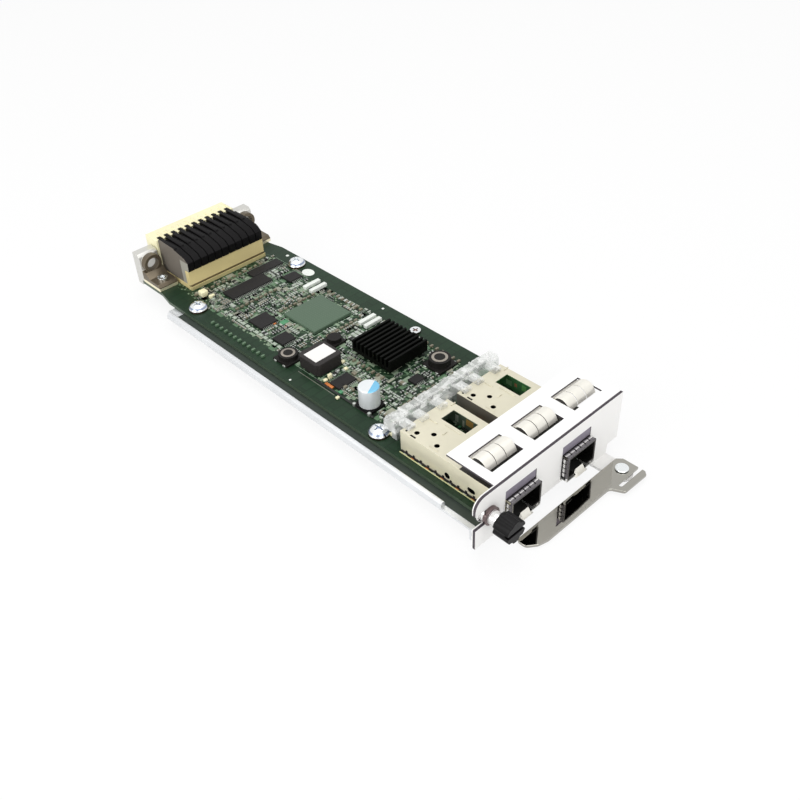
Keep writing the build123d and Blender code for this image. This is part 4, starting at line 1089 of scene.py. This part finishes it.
@dataclass
class BoardParts(Assembly):
    """The parts on the board: solids, leads and the many small chips."""

    seed: int = 7
    tries: int = 900
    clear: float = 0.3 * MM
    areas: int = 560
    area_kinds: tuple = (AREA_MID, AREA_PALE, AREA_DARK, AREA_GREY)
    kinds: tuple = (TAN_CERAMIC, DARK_CERAMIC, PALE_CERAMIC, SOLDER, COPPER, BRIGHT_GREEN, SHROUD_CREAM)

    def build(self) -> None:
        """Dresses the solids and scatters the small parts."""
        shaders = self.shop.shaders
        self.shop.softened("heat_sink", SINK_BLACK, 0.1 * MM, "sink_black")
        self.shop.dress("sink_chip", CHIP_BLACK)
        self.shop.softened("main_chip", shaders.package(), 0.1 * MM, "chip_green")
        self.shop.softened("small_chips", CHIP_BLACK, 0.12 * MM, "chip_black")
        self.shop.softened("power_inductor", CORE_GREY, 0.3 * MM, "core_black")
        self.shop.dress("inductor_label", LABEL_WHITE)
        self.shop.softened("drum_inductors", DRUM_BLACK, 0.4 * MM, "core_black")
        self.shop.dress("capacitor_base", MOULD_BLACK)
        low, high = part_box("capacitor_can")
        can = shaders.capacitor(((low.x + high.x) / 2, (low.y + high.y) / 2), high.z)
        self.shop.softened("capacitor_can", can, 0.3 * MM, "can_aluminium")
        self.shop.softened("header_strips", STRIP_WHITE, 0.2 * MM, "strip_white")
        strip = (srgb(92, 118, 92), [("X", 0.0, 17 * MM)])
        self.shop.dress("ceramic_parts", shaders.zoned("row_ceramic", TAN_CERAMIC, [strip]))
        self._leads()
        self._scatter()
        self._chosen()
        self._power_details()
        self._lines()
        self._areas()

    def _leads(self) -> None:
        """Adds bent leads along the long sides of each black chip."""
        made = bmesh.new()
        pitch = 0.8 * MM
        for low, high in self.shop.solid_boxes("small_chips"):
            long_x = high.x - low.x >= high.y - low.y
            start, end = (low.x, high.x) if long_x else (low.y, high.y)
            count = int((end - start - 0.6 * MM) / pitch)
            first = (start + end) / 2 - (count - 1) * pitch / 2
            for index in range(count):
                along = first + index * pitch
                for edge, outward in ((low.y if long_x else low.x, -1), (high.y if long_x else high.x, 1)):
                    self._lead(made, along, edge, outward, low.z, long_x)
        self.shop.piece("chip_leads", made, [SOLDER], "spring_tin")

    def _lead(
        self, made: bmesh.types.BMesh, along: float, edge: float, outward: int, foot: float, long_x: bool
    ) -> None:
        """Adds one lead: a shoulder and a foot.

        Args:
            made: The bmesh.
            along: Place along the chip.
            edge: The chip's edge across.
            outward: Direction away from the chip, 1 or -1.
            foot: Height of the board.
            long_x: Whether the chip's long side lies along X.
        """
        half = 0.17 * MM
        steps = ((0.0, 0.5, 0.45, 0.6), (0.4, 0.55, 0.05, 0.6), (0.4, 1.0, 0.0, 0.14))
        for near, far, bottom, top in steps:
            a, b = stretch(edge, outward, near, far)
            low = (along - half, a, foot + bottom * MM) if long_x else (a, along - half, foot + bottom * MM)
            high = (along + half, b, foot + top * MM) if long_x else (b, along + half, foot + top * MM)
            add_box(made, low, high)

    def _taken(self) -> list[tuple[float, float, float, float]]:
        """Lists the places on the board that parts already take.

        Returns:
            Rectangles as lowest X, lowest Y, highest X and highest Y.
        """
        taken = []
        for node in ("sink_chip", "main_chip", "small_chips", "power_inductor", "drum_inductors",
                     "capacitor_base", "header_strips", "ceramic_parts", "board_screws", "heat_sink"):
            margin = 1.2 * MM if node == "small_chips" else 0.5 * MM
            for low, high in self.shop.solid_boxes(node):
                taken.append((low.x - margin, low.y - margin, high.x + margin, high.y + margin))
        low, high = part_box("light_guide")
        taken.append((low.x - MM, 0.0, high.x + MM, high.y + MM))
        low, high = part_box("connector_base")
        taken.append((0.0, low.y - MM, 0.1, 0.3))
        return taken

    def _scatter(self) -> None:
        """Places banks of small ceramic parts over the busy middle of the board."""
        random_source = random.Random(self.seed)
        taken = self._taken()
        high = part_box("board")[1]
        made = bmesh.new()
        sizes = ((1.0, 0.5, 0.4), (1.6, 0.8, 0.6), (1.6, 0.8, 0.7), (2.0, 1.25, 0.9), (3.2, 1.6, 1.0))
        count = 0
        for _ in range(self.tries):
            length, width, height = random_source.choices(sizes, (5, 6, 5, 3, 1))[0]
            x = random_source.uniform(20.5 * MM, 65.5 * MM)
            y = random_source.uniform(60 * MM, 191 * MM)
            along_x = random_source.random() < 0.5
            size_x = (length if along_x else width) * MM
            size_y = (width if along_x else length) * MM
            columns, rows = random_source.choice(((1, 1), (1, 1), (2, 1), (1, 3), (4, 1), (3, 2), (1, 5)))
            kind = random_source.choice((0, 1, 1, 2, 2))
            for index in range(columns * rows):
                near_x = x + (index % columns) * (size_x + 0.45 * MM)
                near_y = y + (index // columns) * (size_y + 0.45 * MM)
                box = (near_x, near_y, near_x + size_x, near_y + size_y)
                if near_x > 66 * MM or any(
                    box[0] < other[2] and box[2] > other[0] and box[1] < other[3] and box[3] > other[1]
                    for other in taken
                ):
                    continue
                gap = self.clear
                taken.append((box[0] - gap, box[1] - gap, box[2] + gap, box[3] + gap))
                self._small_part(made, box, high.z, height * MM, along_x, kind)
                count += 1
        LOG.info("small parts: %d", count)
        self.shop.piece("small_parts", made, self.kinds, "ceramic_tan")

    def _areas(self) -> None:
        """Lays flat copper areas under the small parts."""
        random_source = random.Random(self.seed + 4)
        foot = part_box("board")[1].z
        made = bmesh.new()
        for _ in range(self.areas):
            x = random_source.uniform(19.5 * MM, 64 * MM)
            y = random_source.uniform(58 * MM, 190 * MM)
            size_x = random_source.uniform(0.8, 4.2) * MM
            size_y = random_source.uniform(0.8, 4.2) * MM
            kind = random_source.choice((0, 0, 1, 1, 2, 3))
            rise = foot + (0.008 + 0.004 * kind) * MM
            add_box(made, (x, y, foot), (min(x + size_x, 66.5 * MM), y + size_y, rise), kind)
        self.shop.piece("board_areas", made, self.area_kinds, "board_green")

    def _chosen(self) -> None:
        """Adds the single parts that stand out in the picture: coloured ones, pads and a long dark strip."""
        made = bmesh.new()
        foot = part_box("board")[1].z
        banks = [(64.0, 131.0 + 2.5 * step, 1.9, 1.1, 0.5, 3) for step in range(6)]
        banks += [(22.4, 126.0 + 3.1 * step, 1.5, 2.1, 0.6, 2) for step in range(14)]
        for x, y, size_x, size_y, height, kind in (
            *banks, (20.0, 93.4, 1.3, 4.4, 0.7, 4), (21.6, 92.6, 2.2, 2.2, 0.4, 5),
            (23.4, 89.6, 1.6, 2.6, 1.1, 0),
            (40.6, 38.6, 2.4, 1.9, 1.2, 4), (37.4, 38.2, 2.2, 2.6, 0.5, 1), (38.2, 44.4, 2.4, 1.6, 0.7, 2),
            (41.4, 43.2, 1.0, 4.4, 0.6, 2), (37.2, 42.0, 3.4, 0.9, 0.4, 5), (40.4, 47.0, 1.4, 1.4, 0.6, 3),
            (68.6, 39.6, 3.4, 2.2, 0.5, 5), (70.2, 44.0, 2.2, 2.2, 0.5, 5), (72.2, 41.2, 1.6, 1.0, 0.7, 4),
            (31.6, 144.6, 1.4, 0.9, 0.6, 4), (33.6, 139.6, 1.3, 0.9, 0.6, 4),
            (34.2, 142.0, 3.6, 2.6, 0.15, 5),
            (22.9, 185.0, 3.2, 3.2, 2.4, 6), (24.6, 181.4, 2.6, 1.3, 1.6, 6),
            (19.0, 69.0, 1.0, 34.0, 0.5, 1), (25.6, 98.4, 1.3, 1.7, 0.9, 3), (28.4, 99.6, 1.3, 1.7, 0.9, 3),
            (31.8, 107.4, 1.5, 1.3, 0.8, 3), (30.6, 103.4, 1.5, 1.3, 0.8, 3),
            (21.0, 98.6, 1.6, 1.3, 0.9, 6), (23.4, 98.8, 1.7, 1.2, 2.0, 6), (33.6, 102.6, 1.6, 1.5, 1.0, 6),
            (31.4, 98.2, 1.5, 1.4, 1.0, 6), (20.2, 88.4, 1.6, 1.6, 0.8, 5), (17.2, 87.0, 1.5, 1.2, 0.8, 6),
            (24.6, 86.2, 1.2, 2.4, 0.9, 0), (31.6, 93.2, 1.4, 2.0, 0.9, 0), (30.4, 88.6, 1.3, 2.0, 0.9, 0),
        ):
            low = (x * MM, y * MM, foot)
            high = ((x + size_x) * MM, (y + size_y) * MM, foot + height * MM)
            add_box(made, low, high, kind, min(0.15, height * 0.3) * MM)
        self.shop.piece("chosen_parts", made, self.kinds, "ceramic_tan")

    def _power_details(self) -> None:
        """Adds the drums' pale tops, their solder pads and the capacitor's clips."""
        made = bmesh.new()
        for low, high in self.shop.solid_boxes("drum_inductors"):
            middle = (low + high) / 2
            radius = (high.x - low.x - MM) / 2
            for side in (-1, 1):
                edge = middle.x + side * (radius + 0.5 * MM)
                for y in (low.y + 1.0 * MM, high.y - 2.4 * MM):
                    near, far = stretch(edge, side, -0.3, 0.45)
                    add_box(made, (near, y, low.z), (far, y + 1.4 * MM, low.z + 0.75 * MM), 2, 0.1 * MM)
            if radius < 3.5 * MM:
                continue
            add_disc(made, (middle.x, middle.y, high.z - 0.02 * MM), radius * 0.74, 0.1 * MM, 0, 32)
            add_disc(made, (middle.x, middle.y, high.z), radius * 0.5, 0.16 * MM, 1, 28)
        low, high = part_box("capacitor_base")
        for x in (low.x - 0.3 * MM, high.x - 0.9 * MM):
            for y in (low.y - 0.3 * MM, high.y - 0.9 * MM):
                add_box(made, (x, y, low.z), (x + 1.2 * MM, y + 1.2 * MM, high.z + 0.25 * MM), 2, 0.15 * MM)
        self.shop.piece("power_details", made, [DRUM_PALE, DRUM_BLACK, SOLDER], "spring_tin")

    def _lines(self) -> None:
        """Draws the pale outlines round the chips, the broad track and the flat pads."""
        made = bmesh.new()
        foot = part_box("board")[1].z
        rise = foot + 0.03 * MM
        for node, gap, width in (
            ("main_chip", 1.0, 0.22), ("small_chips", 1.6, 0.14), ("power_inductor", 0.7, 0.14),
            ("sink_chip", 3.4, 0.14),
        ):
            for low, high in self.shop.solid_boxes(node):
                self._outline(made, low, high, gap * MM, foot, rise, width * MM)
        for x0, y0, x1, y1 in (
            (30.0, 172.6, 51.5, 173.4), (51.5, 172.6, 52.3, 179.4), (52.3, 179.0, 66.8, 179.8),
            (66.2, 165.0, 67.0, 179.8), (22.0, 172.6, 30.0, 173.0), (18.2, 90.0, 18.5, 112.0),
        ):
            add_box(made, (x0 * MM, y0 * MM, foot), (x1 * MM, y1 * MM, rise), 1)
        oval = Matrix.Diagonal((1.0, 1.25, 1.0, 1.0))
        add_disc(made, (68.9 * MM, 167.0 * MM, foot), 2.6 * MM, 0.04 * MM, 2, 32, 1.0, oval)
        for x, y, radius in ((71.8, 186.0, 0.8), (72.0, 120.0, 0.6), (12.6, 110.0, 0.5)):
            add_disc(made, (x * MM, y * MM, foot), radius * MM, 0.04 * MM, 2, 24)
        self.shop.piece("board_lines", made, [SILK_PALE, TRACK_GREY, STRIP_WHITE], "board_green")

    def _outline(
        self, made: bmesh.types.BMesh, low: Vector, high: Vector, gap: float, foot: float, rise: float,
        width: float,
    ) -> None:
        """Adds a thin printed rectangle round a chip.

        Args:
            made: The bmesh.
            low: Lowest corner of the chip.
            high: Highest corner of the chip.
            gap: Distance from the chip.
            foot: Height of the board.
            rise: Height of the print.
            width: Width of the line.
        """
        x0, x1, y0, y1 = low.x - gap, high.x + gap, low.y - gap, high.y + gap
        for a, b in (
            ((x0, y0), (x1, y0 + width)), ((x0, y1 - width), (x1, y1)),
            ((x0, y0 + width), (x0 + width, y1 - width)), ((x1 - width, y0 + width), (x1, y1 - width)),
        ):
            add_box(made, (*a, foot), (*b, rise), 0)

    def _small_part(
        self, made: bmesh.types.BMesh, box: tuple, foot: float, height: float, along_x: bool, kind: int
    ) -> None:
        """Adds a ceramic body between two metal ends.

        Args:
            made: The bmesh.
            box: Its rectangle on the board.
            foot: Height of the board.
            height: Height of the part.
            along_x: Whether it lies along X.
            kind: Material index of its body.
        """
        x0, y0, x1, y1 = box
        inset = 0.02 * MM
        if along_x:
            end = (x1 - x0) * 0.24
            add_box(made, (x0 + end, y0 + inset, foot), (x1 - end, y1 - inset, foot + height - inset), kind)
            add_box(made, (x0, y0, foot), (x0 + end, y1, foot + height), 3)
            add_box(made, (x1 - end, y0, foot), (x1, y1, foot + height), 3)
            return
        end = (y1 - y0) * 0.24
        add_box(made, (x0 + inset, y0 + end, foot), (x1 - inset, y1 - end, foot + height - inset), kind)
        add_box(made, (x0, y0, foot), (x1, y0 + end, foot + height), 3)
        add_box(made, (x0, y1 - end, foot), (x1, y1, foot + height), 3)


@dataclass
class ScrewAssembly(Assembly):
    """Captive screw with its ferrule, knob and ring."""

    def build(self) -> None:
        """Dresses the screw."""
        shaders = self.shop.shaders
        shadow = (srgb(112, 98, 98), [("Y", -1.5 * MM, 0.2 * MM)])
        ferrule = shaders.zoned("ferrule_steel", TURNED_STEEL, [shadow])
        self.shop.softened("screw_ferrule", ferrule, 0.15 * MM, "ferrule_steel")
        self.shop.softened("screw_shaft", shaders.threaded(2.5 * MM, 0.5 * MM), 0.06 * MM, "ferrule_steel")
        self.shop.softened("screw_knob", KNOB_BLACK, 0.55 * MM, "knob_black", 4, 55)
        self.shop.softened("screw_clip", SPRING_TIN, 0.08 * MM, "spring_tin")


@dataclass
class LeverAssembly(Assembly):
    """Ejector lever and its pivot."""

    strip_top: float = -2.8 * MM

    def build(self) -> None:
        """Dresses the lever."""
        copy = self.shop.copy_of("ejector_lever")
        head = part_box("lever_pivot")[0].x
        roof = self.strip_top
        for vert in copy.verts:
            vert.co.z = min(vert.co.z, roof)
        bmesh.ops.remove_doubles(copy, verts=copy.verts, dist=0.001 * MM)
        bmesh.ops.dissolve_degenerate(copy, edges=copy.edges, dist=0.001 * MM)
        for place in [head - step * MM for step in (3.5, 9, 14, 19, 24)]:
            geometry = [*copy.verts, *copy.edges, *copy.faces]
            bmesh.ops.bisect_plane(copy, geom=geometry, plane_co=(place, 0, 0), plane_no=(1, 0, 0))
        for vert in copy.verts:
            share = min(max((head - 3.5 * MM - vert.co.x) / (20.5 * MM), 0.0), 1.0)
            vert.co += Vector((0.6, 0.4, -0.7)) * MM * share
        self.shop.softened("ejector_lever", LEVER_STEEL, 0.15 * MM, "lever_steel", source=copy)
        self.shop.softened("lever_pivot", SCREW_NICKEL, 0.1 * MM, "screw_nickel")


@dataclass
class Studio:
    """Floor, lamps, world and camera."""

    azimuth: float = -42.213
    elevation: float = 39.237
    roll: float = -2.649
    lens: float = 42.108
    eye: tuple = (-0.151524, -0.134643, 0.228122)
    floor_white: float = 0.86
    world_strength: float = 0.5

    def build(self, low: Vector) -> None:
        """Sets the whole stage.

        Args:
            low: Lowest corner of the part.
        """
        self._camera()
        self._world()
        self._floor(low.z)
        self._lamps()
        bpy.context.scene.view_settings.view_transform = "Standard"

    def _camera(self) -> None:
        """Places the camera at the photograph's viewing angle."""
        azimuth, elevation, roll = (math.radians(v) for v in (self.azimuth, self.elevation, self.roll))
        back = Vector((
            math.sin(azimuth) * math.cos(elevation), -math.cos(azimuth) * math.cos(elevation),
            math.sin(elevation),
        ))
        right = Vector((math.cos(azimuth), math.sin(azimuth), 0.0))
        up = back.cross(right)
        side = right * math.cos(roll) + up * math.sin(roll)
        top = up * math.cos(roll) - right * math.sin(roll)
        data = bpy.data.cameras.new("camera")
        data.sensor_width = 36.0
        data.lens = self.lens
        data.clip_start = 0.01
        data.clip_end = 20.0
        camera = bpy.data.objects.new("camera", data)
        matrix = Matrix((side, top, back)).transposed().to_4x4()
        matrix.translation = Vector(self.eye)
        camera.matrix_world = matrix
        bpy.context.scene.collection.objects.link(camera)
        bpy.context.scene.camera = camera

    def _seen(self, graph: Graph) -> bpy.types.NodeSocket:
        """Makes a factor that is one for rays that show the background.

        Args:
            graph: The graph of the world or of a material.

        Returns:
            The factor's socket.
        """
        path = graph.add("LightPath", {}).outputs
        straight = graph.math("MAXIMUM", path["Is Camera Ray"], path["Is Glossy Ray"])
        return graph.math("MAXIMUM", straight, path["Is Transmission Ray"])

    def _world(self) -> None:
        """Makes the white surroundings."""
        world = bpy.data.worlds.new("studio")
        world.use_nodes = True
        bpy.context.scene.world = world
        graph = Graph(world.node_tree)
        white = (1.0, 1.0, 1.0, 1.0)
        lit = graph.tree.nodes["Background"]
        graph.feed(lit.inputs["Color"], white)
        graph.feed(lit.inputs["Strength"], self.world_strength)
        shown = graph.add("Background", {"Color": white, "Strength": 1.0})
        sources = {"Fac": self._seen(graph), 1: lit.outputs["Background"], 2: shown.outputs["Background"]}
        mixed = graph.add("MixShader", sources).outputs["Shader"]
        graph.feed(graph.tree.nodes["World Output"].inputs["Surface"], mixed)

    def _floor(self, height: float) -> None:
        """Lays the pale floor under the part.

        Args:
            height: Height of the floor.
        """
        made = bmesh.new()
        place = Matrix.Translation((0, 0, height - 0.02 * MM))
        bmesh.ops.create_grid(made, x_segments=1, y_segments=1, size=3.0, matrix=place)
        mesh = bpy.data.meshes.new("floor")
        made.to_mesh(mesh)
        made.free()
        floor = bpy.data.objects.new("floor", mesh)
        bpy.context.scene.collection.objects.link(floor)
        floor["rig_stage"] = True
        material = bpy.data.materials.new("floor_white")
        material.use_nodes = True
        graph = Graph(material.node_tree)
        shader = graph.tree.nodes["Principled BSDF"]
        graph.feed(shader.inputs["Base Color"], (0.9, 0.9, 0.9, 1.0))
        graph.feed(shader.inputs["Roughness"], 0.6)
        glow = graph.add("Emission", {"Strength": 1.0}).outputs["Emission"]
        share = graph.math("MULTIPLY", self._seen(graph), self.floor_white)
        mixed = graph.add("MixShader", {"Fac": share, 1: shader.outputs["BSDF"], 2: glow}).outputs["Shader"]
        graph.feed(graph.tree.nodes["Material Output"].inputs["Surface"], mixed)
        mesh.materials.append(material)

    def _lamps(self) -> None:
        """Hangs the soft lamps."""
        aim = Vector((0.04, 0.1, 0.0))
        for name, place, size, power in (
            ("top_lamp", (0.05, 0.1, 0.9), 0.9, 4.4),
            ("front_lamp", (-0.25, -0.7, 0.45), 0.6, 2.4),
            ("left_lamp", (-0.8, 0.15, 0.4), 0.6, 3.2),
        ):
            data = bpy.data.lights.new(name, "AREA")
            data.shape = "SQUARE"
            data.size = size
            data.energy = power
            lamp = bpy.data.objects.new(name, data)
            lamp.location = place
            lamp.rotation_euler = (aim - Vector(place)).to_track_quat("-Z", "Y").to_euler()
            bpy.context.scene.collection.objects.link(lamp)


def main() -> None:
    """Loads the solids, dresses them and sets the stage."""
    logging.basicConfig(level=logging.INFO, format="%(name)s %(message)s")
    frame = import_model()
    low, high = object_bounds()
    shop = Workshop(frame, Shaders())
    for assembly in (FrontAssembly, CageAssembly, BaseAssembly, GuideAssembly, RearAssembly,
                     BoardParts, ScrewAssembly, LeverAssembly):
        assembly(shop).build()
    Studio().build(Vector(low))


if __name__ == "__main__":
    main()
